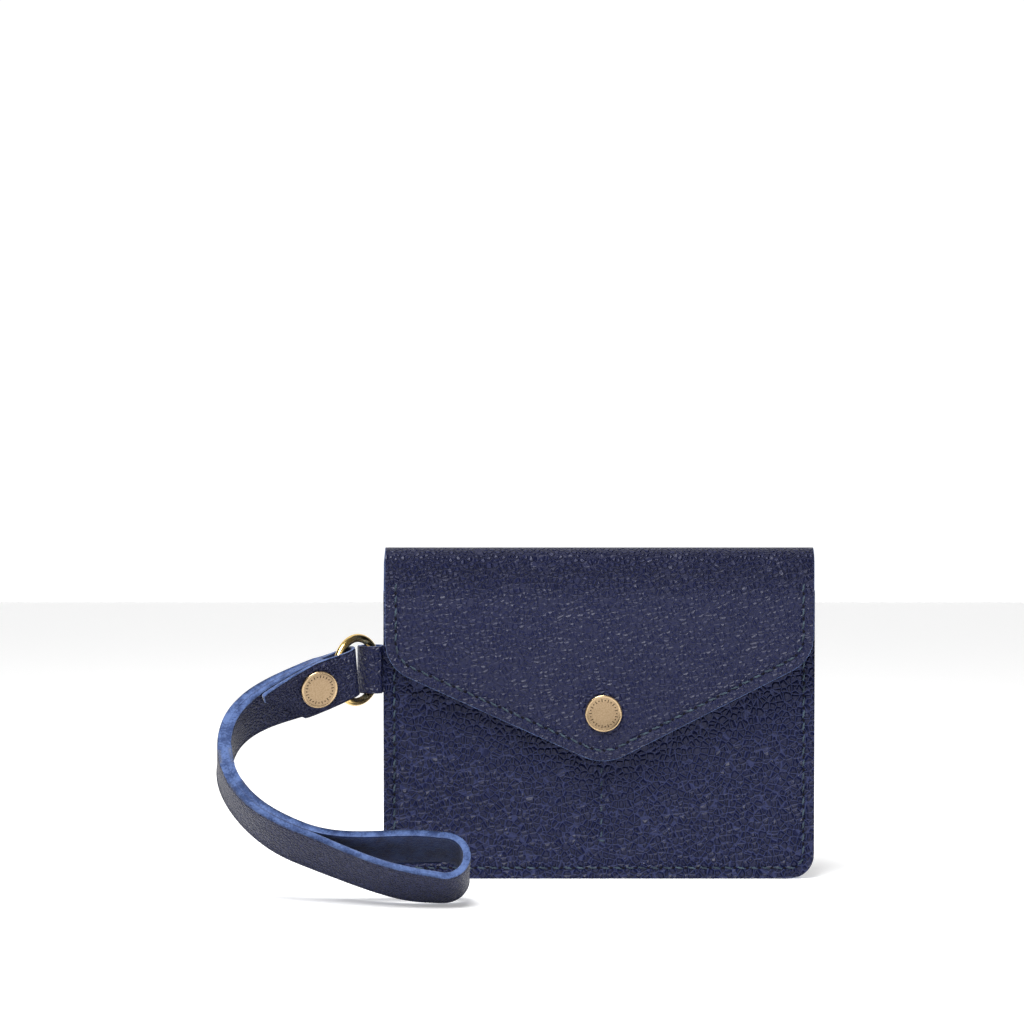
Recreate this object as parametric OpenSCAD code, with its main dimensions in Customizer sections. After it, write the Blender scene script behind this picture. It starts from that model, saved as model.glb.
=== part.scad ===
// Envelope wristlet wallet with a snap flap, a ring tab and a doubled wrist strap.
// Frame: origin at the middle of the wallet's bottom edge, +X to the right, -Y to the front, +Z up.

/* [Wallet] */
// Width of the wallet
body_w = 140; // [132:1:146]
// Height of the closed wallet
body_h = 108; // [106:0.5:112]
// Radius of the two lower corners
corner_r = 8; // [6:0.5:10]
// Height of the front panel's mouth
mouth_z = 94; // [92:0.5:95]
// Height of the card pocket's mouth
pocket_z = 88; // [84:0.5:90]
// Thickness of the body leather
leather_t = 1.2; // [1:0.1:1.3]
// Thickness of the card pocket's leather
pocket_t = 1; // [0.8:0.1:1]
// How far the front panel stands out at its mouth
front_bulge = 3; // [2:0.25:3]
// How far the back panel stands out under the fold
back_bulge = 2.5; // [2:0.25:3]
// Outside radius of the fold over the top
fold_r = 6.2; // [6:0.1:6.5]

/* [Flap] */
// Distance of the flap's sides from the middle
flap_side = 69.3; // [66:0.1:69.5]
// Height of the flap's left corner
flap_left_z = 69.5; // [68:0.5:76]
// Height of the flap's right corner
flap_right_z = 72; // [68:0.5:76]
// Place of the flap's point to the right of the middle
flap_tip_x = 1.5; // [0:0.25:2]
// Height of the flap's point before it is rounded
flap_tip_z = 37.5; // [36:0.5:40]
// Rounding of the flap's side corners
flap_corner_r = 13; // [10:0.5:15]
// Rounding of the flap's point
flap_tip_r = 15; // [12:0.5:18]
// Thickness of the flap's lining
lining_t = 0.6; // [0.5:0.1:0.7]

/* [Stitching] */
// Distance of the stitches from the edge
seam_inset = 3.5; // [3:0.25:4]
// Pitch of the stitches
stitch_pitch = 4; // [3.5:0.25:4.5]
// Length of one stitch
stitch_l = 3; // [2.5:0.1:3.2]
// Thickness of the thread
thread_t = 0.5; // [0.4:0.05:0.6]

/* [Snap] */
// Diameter of the snap cap
cap_d = 12; // [11:0.25:12.5]
// Height of the snap's centre
snap_z = 54.7; // [54:0.1:56]
// Distance of the snap's centre to the right of the middle
snap_x = 1.3; // [1:0.1:1.5]

/* [Ring and tab] */
// Outside diameter of the ring
ring_d = 23.4; // [23:0.1:23.8]
// Diameter of the ring's wire
wire_d = 2.7; // [2.6:0.05:2.8]
// Width of the tab and of the strap
band_w = 16; // [15.6:0.1:16.2]
// Thickness of the tab's leather
tab_t = 1.2; // [1:0.1:1.3]
// Height of the tab's centre
tab_z = 68.5; // [67:0.5:70]
// Angle of the ring's plane from straight left towards the front
ring_yaw = 53; // [50:1:56]

/* [Wrist strap] */
// Thickness of the strap's leather
strap_t = 2.2; // [2:0.05:2.2]
// Length of the doubled strap from the ring to its far end
strap_l = 151; // [150:1:154]
// Direction of the strap at the ring, from straight left towards the front
strap_yaw = 27; // [25:1:29]
// Fall of the strap at the ring
strap_pitch = 21.5; // [21:0.5:23]
// Widest opening between the two arms, near the far end
loop_gap = 12; // [10:0.5:13]
// Diameter of the strap rivet's caps
rivet_d = 12.2; // [11:0.25:12.5]

/* [Hidden] */

half_w = body_w / 2;
seam_y = pocket_t / 2;                       // inner face of each panel where they are sewn
seam_flat = 6;                               // width of the flat margin along the seams
back_y = seam_y + leather_t + back_bulge;    // outer face of the back panel under the fold
fold_y = back_y - fold_r;                    // axis of the fold's round
fold_z = body_h - fold_r;
flap_y = fold_y - fold_r;                    // outer face of the flap
lining_y = flap_y + leather_t;
inner_y = lining_y + lining_t;               // inner face of the flap
hinge_turn = 45;                             // the two hinge lines, from level
hinge_gap = 1;                               // degrees left free at each hinge line
flare_z = 93;                                // where the back panel starts to open to the fold
snap_seat = 1.7;                             // how far the front panel stands out at the snap
columns = 28;
panel_rows = 20;
hem_rows = [0, 0.6, 1.5, 3, 5, 8];           // rows through the rounded lower corners

navy = [0.15, 0.17, 0.33];
suede = [0.22, 0.32, 0.58];
thread = [0.35, 0.45, 0.5];
antique = [0.68, 0.54, 0.36];
gold = [0.85, 0.68, 0.35];

function clamp(t) = min(1, max(0, t));
function smooth(t) = clamp(t) * clamp(t) * (3 - 2 * clamp(t));
function mix(a, b, t) = a + (b - a) * t;
function unit(v) = v / norm(v);

// ---- sheets: a closed solid between two grids of points ----

// Faces of one grid of quads, whose first point has number first
function grid_faces(rows, cols, first, turned) = [
    for (i = [0:rows - 2], j = [0:cols - 2])
        let (a = first + i * cols + j, b = a + 1, c = a + cols + 1, d = a + cols)
        each (turned ? [[a, b, c], [a, c, d]] : [[a, c, b], [a, d, c]])
];

// Faces of the wall between two grids, along a chain of numbers
function rim_faces(chain, shift) = [
    for (k = [0:len(chain) - 2])
        let (a = chain[k], b = chain[k + 1])
        each [[a, b, b + shift], [a, b + shift, a + shift]]
];

// A solid whose front is one grid of points and whose back is another
module sheet(front, back) {
    rows = len(front);
    cols = len(front[0]);
    n = rows * cols;
    rim = [
        for (j = [0:cols - 1]) j,
        for (i = [1:rows - 1]) i * cols + cols - 1,
        for (j = [cols - 2:-1:0]) (rows - 1) * cols + j,
        for (i = [rows - 2:-1:0]) i * cols
    ];
    polyhedron(
        points = [for (r = front) each r, for (r = back) each r],
        faces = concat(
            grid_faces(rows, cols, 0, false),
            grid_faces(rows, cols, n, true),
            rim_faces(rim, n)
        )
    );
}

// ---- body panels ----

// Half the width of a panel at a height, with its rounded lower corner
function half_width(z) =
    z >= corner_r ? half_w
    : half_w - corner_r + sqrt(pow(corner_r, 2) - pow(corner_r - z, 2));

// Share of the full bulge: 0 along the seams, 1 in the middle of the mouth
function pillow(x, z) =
    let (up = clamp((z - seam_flat) / (mouth_z - seam_flat)))
    smooth((half_w - seam_flat - abs(x)) / 34) * up * (1.6 - 0.6 * up);

// How far the front panel stands out, with a flat seat round the snap
function front_out(x, z) =
    mix(snap_seat, front_bulge * pillow(x, z), smooth((norm([x - snap_x, z - snap_z]) - 12) / 18));

function back_out(x, z) =
    back_bulge * (1 - (1 - pillow(x, z)) * (1 - smooth((z - flare_z) / (fold_z - flare_z))));

function panel_heights(top) = concat(
    hem_rows,
    [for (i = [1:panel_rows]) mix(corner_r, top, i / panel_rows)]
);

function across(z) = [for (j = [0:columns]) half_width(z) * (2 * j / columns - 1)];

module front_panel() {
    rows = panel_heights(mouth_z);
    color(navy) difference() {
        sheet(
            [for (z = rows) [for (x = across(z)) [x, -seam_y - leather_t - front_out(x, z), z]]],
            [for (z = rows) [for (x = across(z)) [x, -seam_y - front_out(x, z), z]]]
        );
        translate([snap_x, 0, snap_z]) rotate([90, 0, 0]) cylinder(r = post_r + 0.05, h = 20, $fn = 32);
    }
}

// The card pocket follows the front panel most of the way, and is notched round the tab's root
module card_pocket() {
    rows = panel_heights(pocket_z);
    follow = 0.65;
    color(navy) difference() {
        sheet(
            [for (z = rows) [for (x = across(z)) [x, -seam_y - follow * front_out(x, z), z]]],
            [for (z = rows) [for (x = across(z)) [x, seam_y - follow * front_out(x, z), z]]]
        );
        translate([-half_w - 1, -5, tab_z - band_w / 2 - 0.3]) cube([tab_root + 1.3, 10, band_w + 0.6]);
    }
}

// The back panel runs on into the fold as far as the first hinge line
module back_panel() {
    rows = panel_heights(fold_z);
    arc = [for (k = [1:4]) k * (hinge_turn - hinge_gap) / 4];
    color(navy) sheet(
        concat(
            [for (z = rows) [for (x = across(z)) [x, seam_y + back_out(x, z), z]]],
            [for (a = arc) [for (x = across(fold_z)) fold_point(x, fold_r - leather_t, a)]]
        ),
        concat(
            [for (z = rows) [for (x = across(z)) [x, seam_y + leather_t + back_out(x, z), z]]],
            [for (a = arc) [for (x = across(fold_z)) fold_point(x, fold_r, a)]]
        )
    );
}

function fold_point(x, r, a) = [x, fold_y + r * cos(a), fold_z + r * sin(a)];

// Ring sector of the fold's leather between two angles, over a width
module fold_sector(from, to, width) {
    reach = 3 * fold_r;
    translate([0, fold_y, fold_z]) rotate([90, 0, 90]) linear_extrude(width, center = true)
        intersection() {
            difference() {
                circle(r = fold_r, $fn = 64);
                circle(r = fold_r - leather_t, $fn = 64);
            }
            polygon([[0, 0], reach * [cos(from), sin(from)], reach * [cos((from + to) / 2), sin((from + to) / 2)],
                reach * [cos(to), sin(to)]]);
        }
}

module flap_fold() {
    color(navy) fold_sector(hinge_turn + hinge_gap, 180 - hinge_turn - hinge_gap, 2 * flap_side);
}

// ---- flap ----

// Points of a rounded corner at b, between a and c
function fillet(a, b, c, r, n) =
    let (
        u = unit(a - b),
        v = unit(c - b),
        half = acos(u * v) / 2,
        m = b + unit(u + v) * r / sin(half),
        p = b + u * r / tan(half),
        q = b + v * r / tan(half)
    )
    [for (k = [0:n]) m + r * unit(mix(unit(p - m), unit(q - m), bend_share(k / n, 90 - half)))];

// Share of the chord that lies under a share t of an arc of twice the angle
function bend_share(t, a) = 0.5 + 0.5 * tan(a * (2 * t - 1)) / tan(a);

// The flap's outline moved inwards by a distance, from its left end down round the point to its right end
function flap_edge(inset, top) =
    let (
        left = -flap_side + inset,
        right = flap_side - inset,
        lean_l = atan((flap_left_z - flap_tip_z) / (flap_side + flap_tip_x)),
        lean_r = atan((flap_right_z - flap_tip_z) / (flap_side - flap_tip_x)),
        corner_l = [left, flap_left_z + inset / cos(lean_l) - inset * tan(lean_l)],
        corner_r = [right, flap_right_z + inset / cos(lean_r) - inset * tan(lean_r)],
        tip_z = flap_tip_z + inset / cos((lean_l + lean_r) / 2),
        tip = [flap_tip_x, tip_z]
    )
    concat(
        [[left, top]],
        fillet([left, top], corner_l, tip, flap_corner_r - inset, 6),
        fillet(corner_l, tip, corner_r, flap_tip_r - inset, 6),
        fillet(tip, corner_r, [right, top], flap_corner_r - inset, 6),
        [[right, top]]
    );

module flap() {
    color(navy) union() {
        fold_sector(180 - hinge_turn + hinge_gap, 180.01, 2 * flap_side);
        difference() {
            translate([0, lining_y, 0]) rotate([90, 0, 0]) linear_extrude(leather_t)
                polygon(flap_edge(0, fold_z));
            snap_bore(post_r + 0.05);
        }
    }
}

module flap_lining() {
    top = fold_z - 4;
    color(suede) difference() {
        translate([0, inner_y, 0]) rotate([90, 0, 0]) linear_extrude(lining_t) polygon(flap_edge(0, top));
        snap_bore(post_r + 0.05);
    }
}

// ---- stitching ----

function path_lengths(path) = [
    for (i = 0, s = 0; i < len(path); s = s + (i < len(path) - 1 ? norm(path[i + 1] - path[i]) : 0), i = i + 1) s
];

// One stitch lies flat on the plane y, outwards being the sign of out
module stitch(p, a, y, out) {
    translate([p.x, y + out * (thread_t / 2 + 0.02), p.y]) rotate([0, -a, 0])
        cube([stitch_l, thread_t, thread_t + 0.1], center = true);
}

// A row of stitches along a path on the plane y
module stitch_row(path, y, out) {
    sums = path_lengths(path);
    total = sums[len(sums) - 1];
    count = floor(total / stitch_pitch);
    for (k = [0:count - 1]) {
        s = (k + 0.5) * total / count;
        i = max([for (j = [0:len(sums) - 2]) if (sums[j] <= s) j]);
        a = path[i];
        b = path[i + 1];
        stitch(mix(a, b, (s - sums[i]) / (sums[i + 1] - sums[i])), atan2(b.y - a.y, b.x - a.x), y, out);
    }
}

module flap_stitching() {
    path = flap_edge(seam_inset, flare_z + 4.5);
    color(thread) {
        stitch_row(path, flap_y, -1);
        stitch_row(path, inner_y, 1);
    }
}

module body_seam_stitching() {
    x = half_w - seam_inset;
    top = flare_z - 1;
    path = concat(
        [[-x, top]],
        fillet([-x, top], [-x, seam_inset], [x, seam_inset], corner_r - seam_inset, 5),
        fillet([-x, seam_inset], [x, seam_inset], [x, top], corner_r - seam_inset, 5),
        [[x, top]]
    );
    color(thread) {
        stitch_row(path, -seam_y - leather_t, -1);
        stitch_row(path, seam_y + leather_t, 1);
    }
}

// The divider runs from just under the snap down to a bartack above the hem
module divider_stitching() {
    x = 0.8;
    low = 12.5;
    high = snap_z - 9;
    count = floor((high - low) / stitch_pitch);
    color(thread) for (k = [0:count - 1]) {
        z = low + (k + 0.5) * stitch_pitch;
        face = -seam_y - leather_t - max(front_out(x, z - 2), front_out(x, z + 2));
        stitch([x, z], 90, face - 0.1, -1);
    }
}

// ---- snap ----

post_r = 1.6;
cap_t = 1.4;
socket_r = 4.8;
stud_y = -seam_y - leather_t - snap_seat;    // outer face of the front panel at the snap
stud_neck = 1.7;
snap_room = 0.25;                            // free play between stud and socket

// Places a turned piece on the snap's axis: its +Z points to the front
module on_snap(y) {
    translate([snap_x, y, snap_z]) rotate([90, 0, 0]) children();
}

module snap_bore(r) {
    on_snap(0) cylinder(r = r, h = 20, $fn = 32);
}

// A domed, dished cap: r is its radius, t its height
module cap_shape(r, t) {
    rotate_extrude($fn = 64) polygon([
        [0, 0], [r - 0.3, 0], [r, 0.3], [r, 0.6], [r - 0.35, t * 0.85], [r - 0.9, t], [r - 1.5, t * 0.92],
        [r - 1.9, t * 0.8], [0, t * 0.72]
    ]);
}

module snap_cap() {
    tail = -flap_y + inner_y + 0.5;
    color(antique) on_snap(flap_y) union() {
        cap_shape(cap_d / 2, cap_t);
        translate([0, 0, -tail]) cylinder(r = post_r - 0.05, h = tail + 0.1, $fn = 32);
    }
}

module snap_socket() {
    depth = 2;
    color(antique) on_snap(inner_y) rotate([180, 0, 0]) rotate_extrude($fn = 64) polygon([
        [post_r + 0.02, 0], [socket_r, 0], [socket_r, 0.5], [3.9, 0.6], [3.9, depth], [3.5, depth + 0.1],
        [stud_neck + 0.9, depth + 0.1], [stud_neck + 0.9, depth - 0.3], [3.4, depth - 0.3],
        [3.4, 0.6], [post_r + 0.02, 0.6]
    ]);
}

module snap_spring() {
    color(gold) on_snap(inner_y + 1.35) rotate_extrude($fn = 48) translate([3.05, 0]) circle(r = 0.2, $fn = 16);
}

module snap_stud() {
    color(antique) on_snap(stud_y) rotate_extrude($fn = 64) polygon([
        [post_r + 0.02, 0], [4.6, 0], [4.6, 0.35], [4.2, 0.5], [stud_neck, 0.6], [stud_neck, 0.9],
        [stud_neck + 0.25, 1.3], [stud_neck + 0.25, 1.6], [stud_neck - 0.1, 1.9], [post_r + 0.02, 1.9]
    ]);
}

module snap_post() {
    flange = 0.4;
    length = leather_t + 1.8;
    color(antique) on_snap(stud_y + leather_t) rotate_extrude($fn = 48) polygon([
        [1, -flange], [4.2, -flange], [4.2, 0], [post_r, 0], [post_r, length], [1, length]
    ]);
}

// ---- tab and ring ----

tab_w = band_w - 0.8;                        // width of the tab
tab_root = 8;                                // length of the tab inside the seam
ring_r = (ring_d - wire_d) / 2;              // radius to the wire's centre
ring_lift = 0.2;                             // the ring rides this much above the tab's middle
far_r = ring_r + wire_d / 2;                 // the wire's outside, at the ring's mid height
near_r = sqrt(pow(ring_r - wire_d / 2, 2) - pow(tab_w / 2 + ring_lift, 2));  // its inside at the tab's edge
hold_r = (far_r + near_r) / 2;               // where the tab and the strap hold the ring
tab_axis = [-73.5, -1.4];                    // upright axis on which the ring swings in the tab
ring_out = [-cos(ring_yaw), -sin(ring_yaw)];
ring_mid = tab_axis + hold_r * ring_out;
strap_axis = tab_axis + 2 * hold_r * ring_out;
ring_z = tab_z + ring_lift;
tab_room = (far_r - near_r) / 2 + 0.15;

// Plan of the tab's loop: a round about the ring's wire, closing to the seam
module tab_plan(grow) {
    hull() {
        translate(tab_axis) circle(r = tab_room + grow, $fn = 40);
        translate([-half_w - 0.2, 0]) circle(r = 0.02 + grow * 0.4, $fn = 12);
    }
}

module ring_tab() {
    color(navy) translate([0, 0, tab_z - tab_w / 2]) linear_extrude(tab_w) {
        difference() {
            tab_plan(tab_t);
            tab_plan(0);
            translate([-half_w - 0.25, -10]) square([20, 20]);
        }
        translate([-half_w - 0.3, -seam_y]) square([tab_root + 0.3, pocket_t]);
    }
}

module o_ring() {
    color(gold) translate([ring_mid.x, ring_mid.y, ring_z]) rotate([0, 0, ring_yaw]) rotate([90, 0, 0])
        rotate_extrude($fn = 72) translate([ring_r, 0]) circle(r = wire_d / 2, $fn = 24);
}

// ---- wrist strap ----
// The strap's middle line is followed step by step from the ring. At each station it turns by a
// number of degrees per millimetre towards the front, and twists by another.

strap_turn = [-0.45, -1, 1.5, 3, 2.1, 1.45, 1.2, 0.78, 0.35, 0.3, 0.1];
strap_twist = [0.2, 1.55, 0.6, -0.35, 0.4, -0.2, 0, -1];
steps = strap_l;                             // one step per millimetre
ply_gap = 0.15;
ply = strap_t / 2 + ply_gap / 2;             // middle of each ply from the strap's middle line
loop_start = strap_l - 52;
loop_r = loop_gap / 2 + strap_t / 2;
strap_drop = 0.7;                            // the strap hangs this much below the ring's middle
wrap_lead = 4.7;                             // from the fold's line to the ring's upright axis
wrap_top = 0.2;                              // place of the fold along the strap's upper edge
wrap_low = 4.4;                              // and along its lower edge
wrap_t = 1;                                  // the leather is thinned where it folds round the ring
over_t = 1.4;                                // and is pared thin in the overlap
wrap_in = 2;                                 // room in the fold along the strap
fold_in = 3.0;                               // and across it, to each side
ease = 1.6;                                  // the strap's upper edge is eased down this much at the ring
end_a = 9;                                   // where the inner ply begins, past the ring
cut_top = 35;                                // the overlap's slanted cut, along the top edge
cut_low = 20.5;                              // and along the lower edge
rivet_s = 14;                                // place of the rivet along the strap

function station(list, t) =
    let (u = clamp(t) * (len(list) - 1), i = min(len(list) - 2, floor(u)))
    mix(list[i], list[i + 1], u - i);

// Start of the middle line: [point, forward, outward normal, up across the strap]
function strap_start() =
    let (
        f = [-cos(strap_yaw) * cos(strap_pitch), -sin(strap_yaw) * cos(strap_pitch), -sin(strap_pitch)],
        w = unit([0, 0, 1] - f * f.z),
        n = cross(f, w)
    )
    [[strap_axis.x, strap_axis.y, ring_z - strap_drop] - wrap_lead * f, f, n.y > 0 ? n : -n, w];

function strap_step(k, i) =
    let (
        a = station(strap_turn, (i + 0.5) / steps),
        b = station(strap_twist, (i + 0.5) / steps),
        f = k[1] * cos(a) - k[2] * sin(a),
        m = k[2] * cos(a) + k[1] * sin(a),
        n = m * cos(b) + k[3] * sin(b),
        w = k[3] * cos(b) - m * sin(b)
    )
    [k[0] + (k[1] + f) / 2, f, n, w];

line = [for (i = 0, k = strap_start(); i <= steps; k = strap_step(k, i), i = i + 1) k];

// A place beside the middle line: along the strap, outwards, and across it
function beside(s, out, up) =
    let (i = min(steps, max(0, round(s))), k = line[i])
    k[0] + k[1] * (s - i) + k[2] * out + k[3] * up;

// Half the distance between the two arms at a place along the strap
function spread(s) =
    ply + (loop_r - ply) * smooth((s - loop_start) / (strap_l - loop_start - 12));

// Height of the strap's upper edge above its middle line
function high(s) = band_w / 2 - ease * (1 - smooth(s / 14));

// One ring of the strap's section: its two ends along the strap may differ, and its lower edge may be cut up
function section(s_top, s_low, out, thick, low = -band_w / 2) = [
    beside(s_top, out + thick / 2, high(s_top)), beside(s_top, out - thick / 2, high(s_top)),
    beside(s_low, out - thick / 2, low), beside(s_low, out + thick / 2, low)
];

// The same ring with the grain on the other face
function turned(ring) = [ring[1], ring[0], ring[3], ring[2]];

tip_s = strap_l - loop_r;

// One ring of the round bend at the far end: a runs from the outer arm to the inner
function tip_section(a) = [
    for (c = [[1, 1], [-1, 1], [-1, -1], [1, -1]])
        let (r = loop_r + c[0] * strap_t / 2)
        beside(tip_s, 0, c[1] * band_w / 2) + line[round(tip_s)][2] * r * cos(a) + line[round(tip_s)][1] * r * sin(a)
];

// One ring of the slanted fold round the ring's wire
function wrap_section(a) = [
    for (c = [[1, 1], [0, 1], [0, -1], [1, -1]])
        beside(
            (c[1] > 0 ? wrap_top : wrap_low) - (wrap_in + c[0] * wrap_t) * sin(a),
            (fold_in + c[0] * wrap_t) * cos(a), c[1] > 0 ? high(wrap_top) : -band_w / 2
        )
];
fold_out = fold_in + wrap_t / 2;
over_out = 2 * ply + 0.3 + over_t / 2;       // middle of the overlap, in front of the middle line

// Places along both plies, from just past the ring to the far end's bend
ply_places = concat([for (s = [12:2:36]) s], [for (s = [40:4:tip_s - 4]) s], [tip_s - 2]);
last = len(ply_places) - 1;

// From the inner ply's end out to the far end, back along the outer ply, round the ring to the slanted cut
out_rings = concat(
    [turned(section(end_a, end_a, -ply, strap_t))],
    [for (s = ply_places) turned(section(s, s, -spread(s), strap_t))],
    [for (a = [180:-20:20]) tip_section(a)]
);
back_rings = concat(
    [tip_section(0)],
    [for (i = [last:-1:0]) let (s = ply_places[i]) section(s, s, spread(s), strap_t)],
    [section(9.6, 9.6, ply, strap_t)],
    [for (t = [0.33, 0.66])
        section(
            mix(9.6, wrap_top, t), mix(9.6, wrap_low, t),
            mix(ply, fold_out, smooth(1.3 * t)), mix(strap_t, wrap_t, t)
        )]
);
over_rings = concat(
    [for (a = [0:20:180]) wrap_section(a)],
    [for (t = [0.66, 0.33])
        turned(section(
            mix(9.6, wrap_top, t), mix(9.6, wrap_low, t),
            -mix(over_out, fold_out, t), mix(over_t, wrap_t, t)
        ))],
    [for (s = [9.6, 12, 14, 16, 18, 20]) turned(section(s, s, -over_out, over_t))],
    [for (s = [cut_low, 22, 24, 26, 28, 30, 32, 34, cut_top - 0.4])
        turned(section(s, s, -over_out, over_t, band_w * ((s - cut_low) / (cut_top - cut_low) - 0.5)))]
);

// The closed tube through rings of four points. Every quad is split the same way across the strap,
// so that plies lying on one another never cut: back and forth are where the tube runs back to the ring.
module tube(rings, back, forth) {
    n = len(rings);
    polyhedron(
        points = [for (r = rings) each r],
        faces = concat(
            [[0, 1, 2], [0, 2, 3]],
            [for (i = [0:n - 2], j = [0:3])
                let (
                    a = 4 * i + j,
                    b = 4 * i + (j + 1) % 4,
                    c = b + 4,
                    d = a + 4,
                    flip = i >= back && i < forth
                )
                each ((j == 3) != flip ? [[a, d, b], [b, d, c]] : [[a, c, b], [a, d, c]])],
            [[4 * n - 1, 4 * n - 2, 4 * n - 3], [4 * n - 1, 4 * n - 3, 4 * n - 4]]
        )
    );
}

// Places children at the rivet: +Z points out of the strap's front face
module on_rivet() {
    k = line[rivet_s];
    x = -k[1];
    y = k[3];
    z = -k[2];
    multmatrix([
        [x.x, y.x, z.x, k[0].x],
        [x.y, y.y, z.y, k[0].y],
        [x.z, y.z, z.z, k[0].z],
        [0, 0, 0, 1]
    ]) children();
}

rivet_front = over_out + over_t / 2;         // the overlap's outer face
rivet_back = -ply - strap_t / 2 - 0.05;      // the outer ply's outer face

module wrist_strap() {
    color(navy) difference() {
        tube(
            concat(out_rings, back_rings, over_rings), len(out_rings),
            len(out_rings) + len(back_rings)
        );
        on_rivet() translate([0, 0, -15]) cylinder(r = post_r + 0.05, h = 30, $fn = 32);
        on_rivet() translate([0, 0, rivet_front]) cylinder(d = rivet_d + 0.1, h = 5, $fn = 64);
        on_rivet() translate([0, 0, rivet_back - 5]) cylinder(r = 4.25, h = 5, $fn = 48);
    }
}

module strap_rivet_cap() {
    color(antique) on_rivet() translate([0, 0, rivet_front + 0.02]) cap_shape(rivet_d / 2, cap_t);
}

module strap_rivet_post() {
    color(antique) on_rivet() union() {
        translate([0, 0, rivet_back]) cylinder(r = post_r, h = rivet_front - rivet_back, $fn = 32);
        translate([0, 0, rivet_back]) mirror([0, 0, 1]) cap_shape(4.2, 0.9);
    }
}

back_panel();
front_panel();
card_pocket();
ring_tab();
snap_stud();
snap_post();
body_seam_stitching();
divider_stitching();
flap_fold();
flap();
flap_lining();
flap_stitching();
snap_cap();
snap_socket();
snap_spring();
o_ring();
wrist_strap();
strap_rivet_cap();
strap_rivet_post();
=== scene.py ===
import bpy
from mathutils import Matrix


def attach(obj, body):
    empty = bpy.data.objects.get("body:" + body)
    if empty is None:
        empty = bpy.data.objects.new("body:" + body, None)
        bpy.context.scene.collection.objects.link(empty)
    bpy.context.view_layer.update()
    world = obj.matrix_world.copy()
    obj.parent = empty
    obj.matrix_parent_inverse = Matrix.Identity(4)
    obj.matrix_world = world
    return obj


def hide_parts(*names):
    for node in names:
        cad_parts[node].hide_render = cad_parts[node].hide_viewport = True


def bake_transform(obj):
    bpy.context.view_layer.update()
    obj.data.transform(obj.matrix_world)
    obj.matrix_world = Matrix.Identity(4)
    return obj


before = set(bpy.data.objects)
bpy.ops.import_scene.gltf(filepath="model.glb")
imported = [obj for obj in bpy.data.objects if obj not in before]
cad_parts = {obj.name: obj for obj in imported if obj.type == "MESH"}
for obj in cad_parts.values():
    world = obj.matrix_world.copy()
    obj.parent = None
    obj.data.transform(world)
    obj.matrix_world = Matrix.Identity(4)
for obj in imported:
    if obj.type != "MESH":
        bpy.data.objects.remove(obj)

"""Looks of an envelope wristlet wallet: pebbled leather, stitching, brass snap, ring and riveted strap.

Sizes are in millimetres and are brought to metres when a mesh is made. The frame is the CAD part's:
origin at the middle of the wallet's bottom edge, +X right, -Y to the front, +Z up.
"""

import logging
import math
from collections.abc import Callable
from dataclasses import dataclass, field
from enum import Enum

import bmesh
import bpy
from mathutils import Matrix, Vector

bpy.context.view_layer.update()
MM = 0.001
LOG = logging.getLogger("wallet")

Colour = tuple[float, float, float]
Grid = list[list[Vector]]


class Body(Enum):
    """The rigid bodies that pieces ride on."""

    WALLET = "wallet"
    FOLD = "fold"
    FLAP = "flap"
    RING = "ring"
    STRAP = "strap"


class Face(Enum):
    """Which side of the leather a face belongs to; the value is its material index."""

    GRAIN = 0
    EDGE = 1
    FLESH = 2


# ---------------------------------------------------------------- small maths


def clamp(t: float) -> float:
    """Holds a number between 0 and 1.

    Args:
        t: Any number.

    Returns:
        The number, held.
    """
    return min(1.0, max(0.0, t))


def smooth(t: float) -> float:
    """Eases from 0 to 1.

    Args:
        t: Share along the way.

    Returns:
        The eased share.
    """
    t = clamp(t)
    return t * t * (3 - 2 * t)


def mix(a, b, t: float):
    """Blends two numbers or vectors.

    Args:
        a: Value at 0.
        b: Value at 1.
        t: Share of b.

    Returns:
        The blended value.
    """
    return a + (b - a) * t


def spaced(low: float, high: float, count: int) -> list[float]:
    """Even steps between two numbers, both ends included.

    Args:
        low: First value.
        high: Last value.
        count: How many steps.

    Returns:
        count + 1 values.
    """
    return [mix(low, high, k / count) for k in range(count + 1)]


def both_edges(half: float, marks: list[float], step: float) -> list[float]:
    """Places across a width, dense by the marks near both edges and even between.

    Args:
        half: Half the width.
        marks: Distances in from each edge, rising from 0.
        step: Largest step between the marked zones.

    Returns:
        Rising places from -half to half.
    """
    inner = half - marks[-1]
    count = max(1, math.ceil(2 * inner / step))
    left = [-half + m for m in marks[:-1]]
    return left + spaced(-inner, inner, count) + [-x for x in reversed(left)]


# ---------------------------------------------------------------- finishes


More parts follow.
